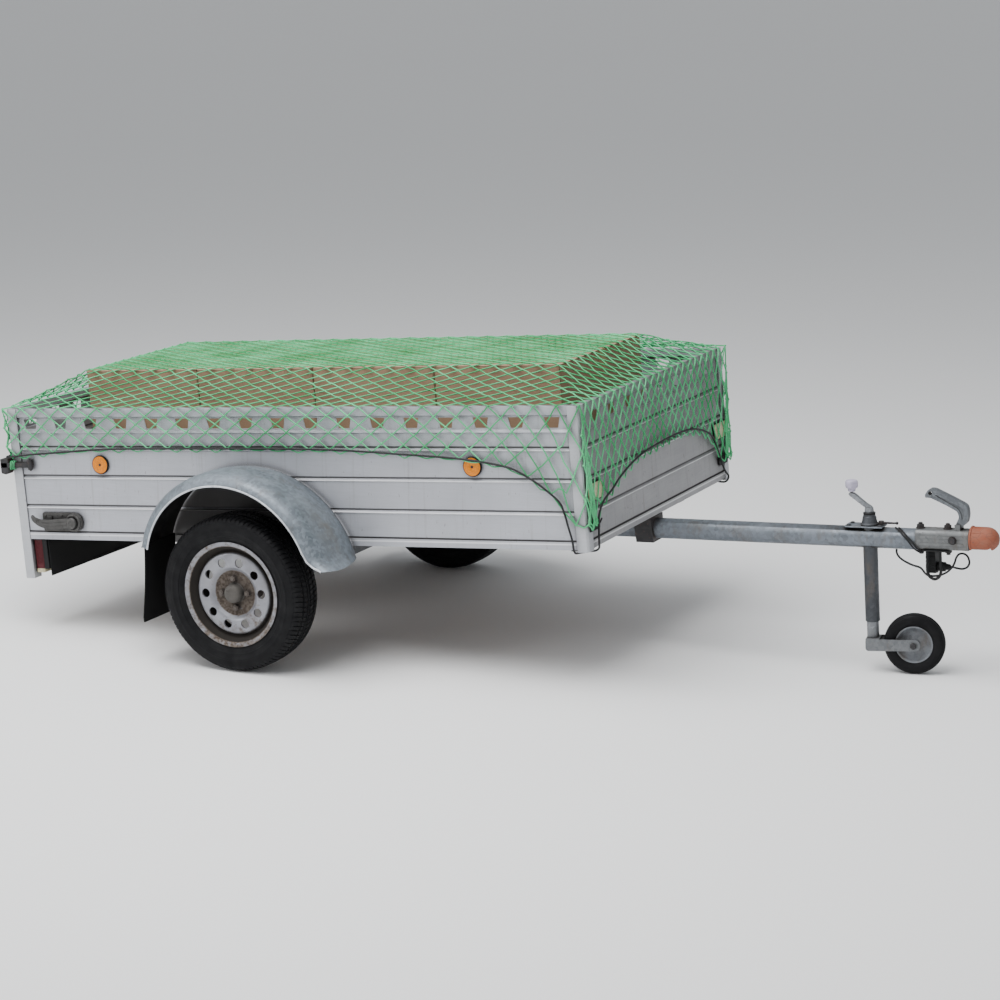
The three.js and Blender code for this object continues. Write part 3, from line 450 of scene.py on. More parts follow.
ZINC = {  # colour, dirt
    "zinc_sheet": ((0.15, 0.16, 0.175), 0.6),
    # Far darker than the other zinc: painted shade on the jockey's outer tube.
    "zinc_leg": ((0.045, 0.049, 0.056), 0.6),
    "zinc_tube": ((0.15, 0.17, 0.195), 0.6),
    "zinc_frame": ((0.13, 0.137, 0.145), 0.8),
    "zinc_guard": ((0.155, 0.18, 0.205), 0.45),
    "bright_zinc": ((0.50, 0.52, 0.55), 0.25),
    "pale_zinc": ((0.135, 0.14, 0.142), 0.85),
    "cast_zinc": ((0.115, 0.125, 0.137), 0.5),
    "leg_tube": ((0.2, 0.21, 0.225), 0.5),
}
WORN = {  # colour, chips, roughness, metallic, amount of chips
    "rusty_steel": ((0.12, 0.1, 0.088), (0.05, 0.034, 0.027), 0.7, 0.3, 0.8),
    "rusty_cap": ((0.105, 0.097, 0.088), (0.05, 0.042, 0.037), 0.75, 0.3, 0.8),
    "black_steel": ((0.022, 0.021, 0.023), (0.11, 0.06, 0.045), 0.55, 0.1, 0.5),
    "grey_zinc": ((0.085, 0.083, 0.08), (0.022, 0.019, 0.017), 0.5, 0.5, 0.9),
}
SOFT = {  # colour, roughness, mottling
    "cable": ((0.014, 0.014, 0.016), 0.5, 0.3),
    "tape": ((0.42, 0.28, 0.15), 0.25, 0.2),
    "flap_rubber": ((0.0015, 0.0015, 0.0017), 0.9, 0.3),
    "black_plastic": ((0.008, 0.008, 0.0085), 0.6, 0.3),
    "white_plastic": ((0.46, 0.43, 0.54), 0.5, 0.35),
}
LENSES = {  # colour, prisms to the metre
    # The red lens is darkened below its own red as painted shade over the rear lamps.
    "red_lens": ((0.085, 0.005, 0.01), 190),
    "yellow_lens": ((0.62, 0.56, 0.36), 170),
    "amber_lens": ((0.86, 0.25, 0.0), 240),
}


def make_materials():
    made = {
        "planks": aluminium("planks", (0.41, 0.42, 0.455), 1.0, PLANK_JOINTS),
        # The front wall: the plank aluminium painted darker as painted shade, with more streaks of dirt.
        "streaked_and_shaded_front_planks": aluminium("streaked_and_shaded_front_planks", (0.3, 0.3, 0.31), 1.6, PLANK_JOINTS),
        "posts": aluminium("posts", (0.44, 0.45, 0.475), 0.5),
        "rim_paint": rim_paint(),
        "tyre": tyre_rubber(),
        "faded_orange": faded_plastic(),
        "cardboard": cardboard(),
        "plywood": plywood(),
        "net_twine": twine("net_twine", (0.02, 0.37, 0.11), (0.12, 0.68, 0.3)),
        "black_cord": twine("black_cord", (0.005, 0.0053, 0.006), (0.012, 0.012, 0.014)),
    }
    for kind, table in ((galvanised, ZINC), (painted, WORN), (soft_plastic, SOFT), (lens, LENSES)):
        for name, look in table.items():
            made[name] = kind(name, *look)
    return made


# ---------------------------------------------------------------- mesh helpers
def piece(name, points, faces, material, where=LEVEL, sharp=35):
    """A mesh object from points in one of the trailer's frames, smooth but for edges over sharp degrees."""
    mesh = bpy.data.meshes.new(name)
    mesh.from_pydata([where @ Vector(p) for p in points], [], faces)
    work = bmesh.new()
    work.from_mesh(mesh)
    bmesh.ops.remove_doubles(work, verts=work.verts, dist=2e-6)
    bmesh.ops.recalc_face_normals(work, faces=work.faces)
    work.to_mesh(mesh)
    work.free()
    if material:
        mesh.materials.append(material)
    mesh.polygons.foreach_set("use_smooth", [True] * len(mesh.polygons))
    mesh.set_sharp_from_angle(angle=math.radians(sharp))
    obj = bpy.data.objects.new(name, mesh)
    bpy.context.scene.collection.objects.link(obj)
    return obj


def weather(obj, where, worn):
    """Stores how worn the piece is at each vertex, and on the rims where dirt and painted shade darken it,
    from its place in one of the trailer's frames.
    """
    inverse = where.inverted()
    wear_and_shade = [worn(inverse @ v.co) for v in obj.data.vertices]
    obj.data.attributes.new("wear_and_shade", "FLOAT", "POINT").data.foreach_set("value", wear_and_shade)
    return obj


def place(obj, body, slot, *nodes):
    """Sets a finished piece on its body, in place of the CAD nodes it stands for; slot, its finish, is not
    used.
    """
    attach(obj, body)
    if nodes:
        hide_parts(*nodes)
    return obj


def part(name, shape, finish, where, body, slot, *nodes, edge=0.0, sharp=35):
    """A finished piece on its body; shape is (points, faces), edge the rounding in millimetres."""
    obj = piece(name, *shape, FINISH[finish], where, sharp)
    if edge:
        bevelled(obj, edge)
    return place(obj, body, slot, *nodes)


def circle(count, radius, centre=(0, 0)):
    """Evenly spaced points on a circle."""
    turns = (2 * math.pi * k / count for k in range(count))
    return [(centre[0] + radius * math.cos(t), centre[1] + radius * math.sin(t)) for t in turns]


def dome(radius, along, step):
    """A quarter circle's (radius, along) points, from its foot to the pole, for a lathe."""
    turns = np.radians(np.arange(step, 90, step))
    return [(radius * math.cos(t), along + radius * math.sin(t)) for t in turns] + [(0, along + radius)]


def rectangle(x0, x1, y0, y1, radius=0.0, steps=4):
    """The outline of a rectangle, with rounded corners if it has a radius."""
    corners = [(x0, y0), (x1, y0), (x1, y1), (x0, y1)]
    return rounded(corners, radius, steps) if radius else corners


def merged(*parts):
    """Points and faces of several (points, faces) parts together."""
    points, faces = [], []
    for more_points, more_faces in parts:
        base = len(points)
        points.extend(tuple(p) for p in more_points)
        faces.extend(tuple(base + i for i in f) for f in more_faces)
    return points, faces


def grid_faces(rows, columns, close_rows=False, close_columns=False):
    faces = []
    for i in range(rows if close_rows else rows - 1):
        for j in range(columns if close_columns else columns - 1):
            a, b = i * columns + j, i * columns + (j + 1) % columns
            c, d = ((i + 1) % rows) * columns + (j + 1) % columns, ((i + 1) % rows) * columns + j
            faces.append((a, b, c, d))
    return faces


def sheet(front, back, rows):
    """A thin closed sheet from the points of its two faces, row by row."""
    count = len(front)
    columns = count // rows
    faces = grid_faces(rows, columns)
    faces += [tuple(i + count for i in reversed(f)) for f in grid_faces(rows, columns)]
    rim = [*range(columns), *((i + 1) * columns - 1 for i in range(1, rows))]
    rim += [count - 1 - i for i in range(1, columns)] + [i * columns for i in range(rows - 2, 0, -1)]
    faces += [(a, b, b + count, a + count) for a, b in zip(rim, rim[1:] + rim[:1])]
    return front + back, faces


def lathe(profile, centre=(0, 0, 0), axis="y", sides=96):
    """A closed (radius, along) profile, listed counter-clockwise, turned about an axis."""
    points = []
    for k in range(sides):
        angle = 2 * math.pi * (k + 0.5) / sides
        for radius, along in profile:
            a, b = radius * math.cos(angle), radius * math.sin(angle)
            offset = {"x": (along, a, b), "y": (b, along, a), "z": (a, b, along)}[axis]
            points.append(tuple(c + o for c, o in zip(centre, offset)))
    return points, grid_faces(sides, len(profile), True, True)


def between(p, q, start, end, t):
    """The point at t on the line from p at start to q at end."""
    return p * ((end - t) / (end - start)) + q * ((t - start) / (end - start))


def smooth_path(controls, steps):
    """Evenly spaced points on a centripetal Catmull-Rom curve through the controls."""
    pts = [Vector(p) for p in controls]
    pts = [pts[0] * 2 - pts[1], *pts, pts[-1] * 2 - pts[-2]]
    fine = []
    for p0, p1, p2, p3 in zip(pts, pts[1:], pts[2:], pts[3:]):
        t0, t1 = 0.0, max((p1 - p0).length, 1e-6) ** 0.5
        t2 = t1 + max((p2 - p1).length, 1e-6) ** 0.5
        t3 = t2 + max((p3 - p2).length, 1e-6) ** 0.5
        for k in range(12):
            t = t1 + (t2 - t1) * k / 12
            a1, a2, a3 = between(p0, p1, t0, t1, t), between(p1, p2, t1, t2, t), between(
                p2, p3, t2, t3, t,
            )
            b1, b2 = between(a1, a2, t0, t2, t), between(a2, a3, t1, t3, t)
            fine.append(between(b1, b2, t1, t2, t))
    fine.append(pts[-2])
    line = np.array(fine)
    along = np.concatenate([[0], np.cumsum(np.linalg.norm(np.diff(line, axis=0), axis=1))])
    wanted = np.linspace(0, along[-1], steps + 1)
    return np.stack([np.interp(wanted, along, line[:, i]) for i in range(3)], axis=1)


def tube(path, radius, sides=10, closed=False):
    """A round tube along a list of points; radius is a number or one for each point."""
    path = np.asarray(path, float)
    count = len(path)
    radii = np.broadcast_to(radius, count)
    if closed:
        tangents = np.roll(path, -1, 0) - np.roll(path, 1, 0)
    else:
        tangents = np.gradient(path, axis=0)
    tangents /= np.linalg.norm(tangents, axis=1, keepdims=True) + 1e-12
    normal = np.cross(tangents[0], (0.31, 0.2, 0.93))
    points = []
    for p, t, r in zip(path, tangents, radii):
        normal = normal - t * normal.dot(t)
        normal /= np.linalg.norm(normal)
        side = np.cross(t, normal)
        for k in range(sides):
            angle = 2 * math.pi * k / sides
            points.append(tuple(p + r * (normal * math.cos(angle) + side * math.sin(angle))))
    faces = grid_faces(count, sides, closed, True)
    if not closed:
        faces.append(tuple(range(sides - 1, -1, -1)))
        faces.append(tuple((count - 1) * sides + k for k in range(sides)))
    return points, faces


def slab(outline, low, high, axis="y", far_outline=None):
    """A plate: an outline across an axis, from low to high along it, where it can have another outline.
    The outline's coordinates are (y, z) across X, (x, z) across Y and (x, y) across Z."""
    count = len(outline)
    put = {
        "x": lambda a, b, h: (h, a, b),
        "y": lambda a, b, h: (a, h, b),
        "z": lambda a, b, h: (a, b, h),
    }[axis]
    points = [put(a, b, low) for a, b in outline] + [put(a, b, high) for a, b in far_outline or outline]
    faces = [(i, (i + 1) % count, count + (i + 1) % count, count + i) for i in range(count)]
    return points, [*faces, tuple(range(count)), tuple(range(count, 2 * count))]


def rod(axis, span, at, radius, end_radius=None, sides=40):
    """A round bar along an axis, or a cone with two radii."""

    def ring(r):
        turns = (2 * math.pi * (k + 0.5) / sides for k in range(sides))
        return [(at[0] + r * math.cos(t), at[1] + r * math.sin(t)) for t in turns]

    return slab(ring(radius), *span, axis, ring(radius if end_radius is None else end_radius))


def ball(centre, radius, squash=(1, 1, 1), rows=14, sides=28):
    """A sphere, or an ellipsoid with three scales."""
    profile = [(math.sin(math.pi * i / rows), -math.cos(math.pi * i / rows)) for i in range(rows + 1)]
    points, faces = lathe(profile, axis="z", sides=sides)
    return [tuple(c + radius * q * k for c, q, k in zip(centre, p, squash)) for p in points], faces


def block(x, y, z):
    return slab(rectangle(*x, *y), *z, "z")


def rounded(outline, radius, steps=4):
    """The outline with its corners rounded."""
    out = []
    count = len(outline)
    for i, p in enumerate(outline):
        a, b, c = Vector(outline[i - 1]), Vector(p), Vector(outline[(i + 1) % count])
        back, ahead = (a - b), (c - b)
        reach = min(radius, back.length * 0.45, ahead.length * 0.45)
        start, end = b + back.normalized() * reach, b + ahead.normalized() * reach
        for k in range(steps + 1):
            t = k / steps
            out.append(tuple(start * (1 - t) ** 2 + b * (2 * t * (1 - t)) + end * t * t))
    return out


def baked(obj):
    """Applies the object's modifiers to its mesh."""
    graph = bpy.context.evaluated_depsgraph_get()
    mesh = bpy.data.meshes.new_from_object(obj.evaluated_get(graph))
    obj.modifiers.clear()
    obj.data = mesh
    return obj


def bevelled(obj, width, segments=2, angle=32):
    """Rounds the object's sharp edges; width is in millimetres."""
    bevel = obj.modifiers.new("edges", "BEVEL")
    bevel.width = width * 0.001
    bevel.segments = segments
    bevel.limit_method = "ANGLE"
    bevel.angle_limit = math.radians(angle)
    bevel.harden_normals = True
    return obj


def carved(obj, where, *shapes, operation="DIFFERENCE"):
    """Cuts closed (points, faces) shapes from the object, or joins them to it."""
    for shape in shapes:
        tool = piece("tool", *shape, None, where)
        change = obj.modifiers.new("cut", "BOOLEAN")
        change.object = tool
        change.operation = operation
        change.solver = "EXACT"
        baked(obj)
        bpy.data.objects.remove(tool)
    return obj


# ---------------------------------------------------------------- wheels
def outward(offset):
    return -(WHEEL_Y + offset)


def build_tyre(side, where):
    """Radial tyre: shoulder and centre blocks with slanting lateral grooves, and ringed sidewalls."""
    pitches = 96
    within = np.array([0.0, 0.03, 0.17, 0.2, 0.6])
    turns = (2 * np.pi / pitches) * (np.arange(pitches)[:, None] + within).ravel()
    in_groove = np.tile([0, 1, 1, 0, 0], pitches)
    # across, radius, depth of the lateral grooves there
    half = [
        (56, 170, 0), (59, 173, 0), (60, 182, 0), (61, 186, 0), (66, 192, 0), (69, 197, 0),
        (71.5, 202, 0),
        (73.2, 203, 0), (74, 206, 0), (73.6, 208, 0), (75.4, 214, 0), (76.6, 221, 0), (77.4, 222, 0),
        (77.6, 227, 0), (76.8, 228, 0), (76.4, 238, 0), (75.2, 246, 0), (74.4, 250, 0), (73.4, 251, 0.5),
        (71, 256, 1.5), (67, 260.5, 3), (60, 264.6, 4), (45, 267.2, 5), (38, 267.8, 5), (36.6, 261, 0),
        (31.4, 261, 0), (30, 268.3, 5), (20, 268.7, 5), (11, 269, 5), (9.6, 262, 0), (4.6, 262, 0),
        (3.2, 269, 0),
    ]
    lining = [(50, 178, 0), (60, 200, 0), (66, 228, 0), (44, 252, 0)]
    rows = [*half, *((-w, r, d) for w, r, d in reversed(half))]
    rows += [*((-w, r, d) for w, r, d in lining), *reversed(lining)]
    points = []
    for across, radius, depth in rows:
        slant = 0.055 * min(abs(across), 60) / 60
        for turn, groove in zip(turns, in_groove):
            r = radius - depth * groove
            points.append((r * math.cos(turn + slant), across - WHEEL_Y, r * math.sin(turn + slant)))
    faces = grid_faces(len(rows), len(turns), True, True)
    tyre = piece(f"{side}_road_tyre", points, faces, FINISH["tyre"], where, 30)
    weather(tyre, where, lambda p: 1.0 if math.hypot(p.x, p.z) > 252 else 0.0)
    place(tyre, f"{side}_road_wheel", "tyre_rubber", f"{side}_tyre")


def build_rim(side, where):
    """Pressed steel wheel: rolled flanges, drop centre, and a dished disc with ten round vents."""
    profile = [
        (182.5, 65), (182.5, 60), (169, 57), (152, 22), (152, -35), (169, -57), (182.5, -61),
        (182.5, -65),
        (165, -61), (147, -33), (147, -4), (138, 38), (94, 42), (77, 25), (34, 25), (34, 30), (74, 30),
        (92, 47), (139.5, 46), (147, 24), (165, 61),
    ]
    outline = rounded([(r, outward(o)) for r, o in profile], 8, 3)
    rim = piece(f"{side}_pressed_rim", *lathe(outline, sides=120), FINISH["rim_paint"], where)
    vents, bolts = circle(10, 110), circle(4, 50)
    holes = [rod("y", (outward(60), outward(20)), at, 15.5, sides=32) for at in vents]
    holes += [rod("y", (outward(60), outward(20)), at, 6.6, sides=32) for at in bolts]
    carved(rim, where, merged(*holes))
    bevelled(rim, 1.2)
    baked(rim)

    def worn(p):
        r = math.hypot(p.x, p.z)
        # The barrel between flange and disc gets 2 and the centre 1.45, which the paint shows as dirt and
        # painted shade.
        if 143 < r < 168:
            return 2.0
        low = 0.35 * max(0.0, -p.z / 180)
        return 1.45 if r < 76 else low + (0.08 if r < 142 else 0.32)

    weather(rim, where, worn)
    place(rim, f"{side}_road_wheel", "wheel_steel", f"{side}_rim")


def build_hub(side, where):
    body = [
        (0, -748), (17.5, -748), (17.5, -687), (44, -687), (50, -700), (50, -770), (66, -786),
        (66, -797.5),
        (31, -798), (31, -790), (0, -790),
    ]
    parts = [lathe(rounded(body, 4, 3), sides=64)]
    for at in circle(4, 50):
        parts.append(rod("y", (-808, -790), at, 6))
        parts.append(rod("y", (-806.5, -799.5), at, 11.5, 9.5))
        parts.append(rod("y", (-818, -804.5), at, 10.4, sides=6))
        parts.append(rod("y", (-820.5, -816), at, 5.5, 5))
    part(
        f"{side}_wheel_hub", merged(*parts), "rusty_steel", where, f"{side}_road_wheel",
        "galvanised_steel", f"{side}_hub", edge=1.1, sharp=40,
    )
    cap = [
        (0, -797), (34, -797), (36, -800), (36, -804), (32.5, -806), (31.5, -826), (28.5, -833),
        (21, -837),
        (12, -838.5), (0, -839),
    ]
    part(
        f"{side}_grease_cap", lathe(rounded(cap, 2, 2), sides=72), "rusty_cap", where,
        f"{side}_road_wheel", "galvanised_steel", sharp=50,
    )


def build_wheels():
    for side, mirror in SIDES.items():
        where = LEVEL @ mirror @ Matrix.Translation((0, 0, TYRE_RADIUS))
        build_tyre(side, where)
        build_rim(side, where)
        build_hub(side, where)


# ---------------------------------------------------------------- mudguards and flaps
GUARD_WALL, GUARD_LIP = 621, 880
GUARD_REAR, GUARD_FRONT = 158, 20  # degrees up from the front
GUARD_THICK = 2.5
REAR_PULL = 24
# across, radius, centre z from the wall to the outer lip
GUARD_SECTION = [
    (-GUARD_WALL, 400, 268), (-660, 407, 270), (-720, 408, 276), (-800, 398, 288), (-845, 383, 299),
    (-870, 363, 307), (-GUARD_LIP, 341, 311),
]
FLAP_TOP, FLAP_BOTTOM = 440, 163
FLAP_OUTER, FLAP_INNER = -848, -662


def build_mudguards():
    section = smooth_path(GUARD_SECTION, 26)

    def arc(across, radius, centre_z):
        """One line of the skin round the wheel, its front end turned outwards towards the lip."""
        centre_x = np.interp(
            -across, [GUARD_WALL, 660, 720, 800, 845, GUARD_LIP], [-15, -14, -10, -4, 0, 3],
        )
        lip = (-across - GUARD_WALL) / (GUARD_LIP - GUARD_WALL)
        tip = 12.7 - 4.7 * lip
        bend = [tip, 15 - 4 * lip, 17.5 - 3 * lip, GUARD_FRONT]
        back = np.linspace(GUARD_REAR, GUARD_FRONT, 62)[:-1]
        angles = np.concatenate([back, np.linspace(GUARD_FRONT, tip, 10)])
        flare = lip * np.interp(angles, bend, [50, 22, 6, 0])
        flare = flare - REAR_PULL * np.clip((angles - 100) / (GUARD_REAR - 100), 0, 1) ** 2
        return [
            (centre_x + (radius + f) * math.cos(a), across, centre_z + (radius + f) * math.sin(a))
            for a, f in zip(np.radians(angles), flare)
        ]

    outer = [p for y, r, z in section for p in arc(y, r, z)]
    inner = [p for y, r, z in section for p in arc(y, r - GUARD_THICK, z)]
    skin = sheet(outer, inner, len(section))

    def road_dirt(p):
        turn = math.degrees(math.atan2(p[2] - 280, p[0]))
        return 0.5 * max(0.0, 1 - abs(turn - 32) / 22) * max(0.0, 1 - abs(p[1] + 745) / 95)

    # The inner face gets 1, near black in its finish: dirt and painted shade under the guard; the outer
    # face carries road dirt.
    wear_and_shade = [road_dirt(p) for p in outer] + [1.0] * len(inner)
    bead = tube(arc(-879, 339, 311), 3.4, 12)
    for side, mirror in SIDES.items():
        where = LEVEL @ mirror
        guard = piece(f"{side}_steel_mudguard", *skin, FINISH["zinc_guard"], where)
        guard.data.attributes.new("wear_and_shade", "FLOAT", "POINT").data.foreach_set("value", wear_and_shade)
        place(guard, "chassis", "galvanised_steel", f"{side}_mudguard")
        part(f"{side}_guard_bead", bead, "bright_zinc", where, "chassis", "galvanised_steel")
        build_flap(side, where)


def build_flap(side, where):
    """Rubber mud flap, hung a little curved from two steel strips, with moulded ribs."""
    rows = []
    for k in range(15):
        t = k / 14
        x = -322 - 40 * t + 5 * math.sin(math.pi * t)
        z = FLAP_TOP - (FLAP_TOP - FLAP_BOTTOM) * t
        inset = 6 * (t > 0.95)
        rows.append([(x, FLAP_OUTER + inset, z), (x, FLAP_INNER - inset, z)])
    front = [p for row in rows for p in row]
    back = [(x + 5, y, z) for x, y, z in front]
    ribs = []
    for k in range(9):
        y = -836 + k * 20
        ribs.append(slab([(-326, 425), (-321, 425), (-352, 190), (-358, 190)], y, y + 6, "y"))
    part(
        f"{side}_rubber_flap", merged(sheet(front, back, len(rows)), *ribs), "flap_rubber", where,
        "chassis", "black_rubber", f"{side}_mud_flap", edge=1.2,
    )
    strips = [
        slab(rectangle(rear, -319, 424, 427), y, y + 20, "y")
        for rear, y in ((-364, -700), (-348, -830))
    ]
    part(f"{side}_flap_stays", merged(*strips), "black_steel", where, "chassis", "dark_steel", edge=0.6)


# ---------------------------------------------------------------- latches, reflectors and lamps
REFLECTOR_Z = 670


def build_corner_latch(side, where):
    y = -BED_SIDE
    bend = [
        (-938, y - 1), (-920, y - 1), (-920, y - 14), (-1016, y - 22), (-1052, y - 22), (-1052, y + 34),
        (-1017, y + 34), (-1017, y - 8),
    ]
    arm = slab(rounded(bend, 4), 661, 679, "z")
    catch = slab(rectangle(-1052, -1017, y - 22, y + 34, 5), 645, 692, "z")
    hinge = (-929, y - 9)
    eye = rod("z", (652, 688), hinge, 8.5)
    pin = rod("z", (648, 693), hinge, 4)
    grip = slab(rounded([(-1050, 640), (-1030, 636), (-1024, 648), (-1050, 650)], 3), y - 21, y + 20, "y")
    part(
        f"{side}_hook_latch", merged(arm, catch, eye, pin, grip), "black_steel", where,
        f"{side}_corner_latch", "dark_steel", f"{side}_corner_latch", edge=1.6,
    )
    wraps = []
    for k, x in enumerate((-1006, -999, -991)):
        loop = [
            (x, y - 23.5, 656 + k), (x + 2, y - 25, 670), (x + 3, y - 22, 683), (x + 1, y - 10, 684),
            (x - 1, y - 8, 670), (x - 2, y - 10, 657),
        ]
        wraps.append(tube(smooth_path([*loop, loop[0]], 24), 1.6, 8))
    part(
        f"{side}_latch_twine", merged(*wraps), "net_twine", where, f"{side}_corner_latch", "net_twine",
        sharp=60,
    )


def build_cam_latch(side, where):
    y = -BED_SIDE + 2
    pivot = (-766, 0, 462)
    outline = [(-905, 428), (-765, 428), (-742, 437), (-731, 462), (-742, 487), (-765, 496), (-905, 496)]
    plate = slab(rounded(outline, 9, 5), y - 5, y - 0.4, "y")
    housing = [
        (0, y - 4), (34, y - 4), (34, y - 8), (31, y - 9), (31, y - 20), (28, y - 22), (24, y - 22),
        (23, y - 20), (0, y - 20),
    ]
    drum = lathe(rounded(housing, 1.5, 3), pivot, "y", 72)
    rest = slab(rectangle(-882, -862, 440, 484, 3), y - 10, y - 4, "y")
    rivets = [ball((x, y - 5, z), 5.5, (1, 0.6, 1), 8, 20) for x in (-893, -822) for z in (439, 485)]
    part(
        f"{side}_cam_latch_plate", merged(plate, drum, rest, *rivets), "grey_zinc", where, "chassis",
        "zinc", f"{side}_cam_latch_base", edge=0.9,
    )
    hub = [
        (0, y - 22.5), (20, y - 22.5), (20, y - 31), (17, y - 34), (9, y - 34), (8, y - 32), (0, y - 32),
    ]
    hub = lathe(rounded(hub, 1.2, 2), pivot, "y", 56)
    hook = [
        (-776, 446), (-820, 441), (-862, 440), (-895, 446), (-914, 454), (-932, 468), (-938, 482),
        (-934, 492),
        (-928, 486), (-920, 480), (-900, 474), (-862, 474), (-820, 477), (-776, 480),
    ]
    bar = slab(rounded(hook, 5, 3), y - 32, y - 23, "y")
    rib = [(-780, 457), (-860, 452), (-896, 458), (-896, 463), (-860, 462), (-780, 468)]
    rib = slab(rounded(rib, 3), y - 34, y - 31, "y")
    part(
        f"{side}_cam_latch_handle", merged(hub, bar, rib), "grey_zinc", where, f"{side}_cam_lever",
        "zinc", f"{side}_cam_latch_lever", edge=1.2,
    )


def build_reflector(name, side, x, where):
    y = -BED_SIDE + 2
    centre = (x, 0, REFLECTOR_Z)
    rim = [
        (0, y - 0.5), (33.5, y - 0.5), (33.5, y - 5), (32, y - 6), (30.6, y - 6), (30.6, y - 4),
        (0, y - 4),
    ]
    part(
        f"{name}_{side}_reflector_rim", lathe(rounded(rim, 0.8, 2), centre, "y", 64), "black_plastic",
        where, "chassis", "black_plastic",
    )
    face = [(4.5, y - 4), (30.5, y - 4), (30.2, y - 6.4), (21, y - 8), (8, y - 8.3), (4.5, y - 6)]
    part(
        f"{name}_{side}_amber", lathe(face, centre, "y", 64), "amber_lens", where, "chassis",
        "amber_lens", f"{name}_{side}_reflector",
    )
    screw = ball((x, y - 6.6, REFLECTOR_Z), 4.6, (1, 0.6, 1), 8, 20)
    part(f"{name}_{side}_screw", screw, "black_steel", where, "chassis", "dark_steel")


def build_front_marker(side, where):
    """Flat pale lamp on the front wall, and under it the cleat that the edge rope runs behind."""
    body = slab(rectangle(-602, -489, 547, 610, 7), 1239.5, 1243.5, "x")
    face = slab(rectangle(-598, -493, 551, 606, 6), 1243.5, 1247, "x")
    part(f"front_{side}_marker_base", body, "black_plastic", where, "chassis", "black_plastic", edge=0.8)
    part(f"front_{side}_marker", face, "yellow_lens", where, "chassis", "white_plastic", edge=1.0)
    plate = slab(rectangle(-603, -522, 452, 486, 6), 1239.5, 1242.5, "x")
    horns = []
    for y, way in ((-590, -1), (-536, 1)):
        bend = [(1242, y, 469), (1246, y, 469), (1247, y + 8 * way, 474), (1246.5, y + 22 * way, 482)]
        horns.append(tube(smooth_path(bend, 14), 2.6, 12))
    part(
        f"front_{side}_rope_cleat", merged(plate, *horns), "black_plastic", where, "chassis",
        "black_plastic", edge=0.8,
    )


def build_lamp(side, where):
    """Rear lamp: red upper lens wrapping round the corner, clear reversing lens below."""

    def shell(z0, z1, swell):
        back = slab(rectangle(-1006 - swell, -914, -571, -399, 8), z0, z1, "z")
        corners = [(-969 - swell, -607 - swell), (-934, -607 - swell), (-934, -560), (-969 - swell, -560)]
        wrap = slab(rounded(corners, 7), z0, z1, "z")
        return back, wrap

    housing = shell(286, 391, 0)
    ribs = []
    for k in range(5):
        x = -962 + k * 5
        ribs.append(slab(rectangle(x, x + 2.4, -608.5, -606, 0.5), 303, 388, "z"))
    part(
        f"rear_{side}_red_lens", merged(*housing, *ribs), "red_lens", where, "chassis", "lamp_red",
        f"rear_lamp_{side}", edge=1.2,
    )
    back = slab(rectangle(-933.6, -914, -606, -560), 284, 391, "z")
    part(f"rear_{side}_lamp_holder", back, "black_plastic", where, "chassis", "black_plastic", edge=1.0)
    part(
        f"rear_{side}_clear_lens", merged(*shell(271, 285, 0.6)), "yellow_lens", where, "chassis",
        "white_plastic", edge=1.5,
    )


def build_side_fittings():
    for side, mirror in SIDES.items():
        where = LEVEL @ mirror
        build_corner_latch(side, where)
        build_cam_latch(side, where)
        build_reflector("rear", side, -631, where)
        build_reflector("front", side, 844, where)
        build_front_marker(side, where)
        build_lamp(side, where)


# ---------------------------------------------------------------- drawbar, jockey wheel and coupling
def build_drawbar():
    wall = rounded([(35, -540), (35, 900), (31, 900), (31, -540)], 1, 2)
    bar = piece("round_drawbar", *lathe(wall, axis="x", sides=96), FINISH["zinc_tube"], BAR)
    carved(bar, BAR, rod("z", (-60, 60), (JOCKEY_X, 0), 24.4, sides=64))
    place(bar, "chassis", "galvanised_steel", "drawbar_tube")
    ties = []
    for start in (826, 837):
        path = []
        for t in np.linspace(0, 1, 30):
            turn = math.radians(80 - 135 * t)
            reach = 38 + 9 * min(1.0, max(0.0, (t - 0.55) / 0.25))
            path.append((start + 88 * t, -reach * math.cos(turn), reach * math.sin(turn)))
        ties.append(tube(path, 2.6, 12))
    part("lead_ties", merged(*ties), "cable", BAR, "chassis", "black_rubber", sharp=60)


def build_jockey_leg():
    x = JOCKEY_X
    z = WHEEL_TOP.z
    plate = slab(rectangle(x - 80, x + 52, -32, 32, 10, 5), 36.5, 41, "z")
    shape = [
        (21.5, z + 76), (24, z + 76), (24, 38), (30, 43), (30, 47), (26, 50), (22, 70), (20, 72),
        (20, 76), (17, 84),
        (8.5, 84), (8.5, 60), (21.5, 60),
    ]
    column = lathe(rounded(shape, 1.2, 2), (x, 0, 0), "z", 72)
    bolts = []
    for bx, by in ((x - 66, -20), (x - 66, 20), (x + 42, -22), (x + 42, 22)):
        bolts.append(rod("z", (40, 45.6), (bx, by), 7.5, sides=6))
        bolts.append(rod("z", (40, 42), (bx, by), 9.5))
    clamp = piece("jockey_clamp_plate", *plate, FINISH["zinc_tube"], BAR)
    carved(clamp, BAR, rod("z", (30, 45), (x, 0), 22.5, sides=72))
    place(bevelled(clamp, 0.9), "chassis", "galvanised_steel")
    part(
        "jockey_clamp_and_tube", merged(column, *bolts), "zinc_leg", BAR, "chassis", "galvanised_steel",
        "jockey_outer_tube", edge=0.9,
    )
    collar = lathe(rectangle(17.5, 20.5, 78, 83.5, 1, 3), (x, 0, 0), "z", 56)
    part("jockey_head_ring", collar, "black_plastic", BAR, "chassis", "black_plastic")
    inner = [(17.5, z + 21), (20, z + 21), (20, 12), (17.5, 12)]
    part(
        "jockey_leg_tube", lathe(rounded(inner, 0.8, 2), (x, 0, 0), "z", 72), "leg_tube", BAR,
        "jockey_leg", "galvanised_steel", "jockey_inner_tube",
    )


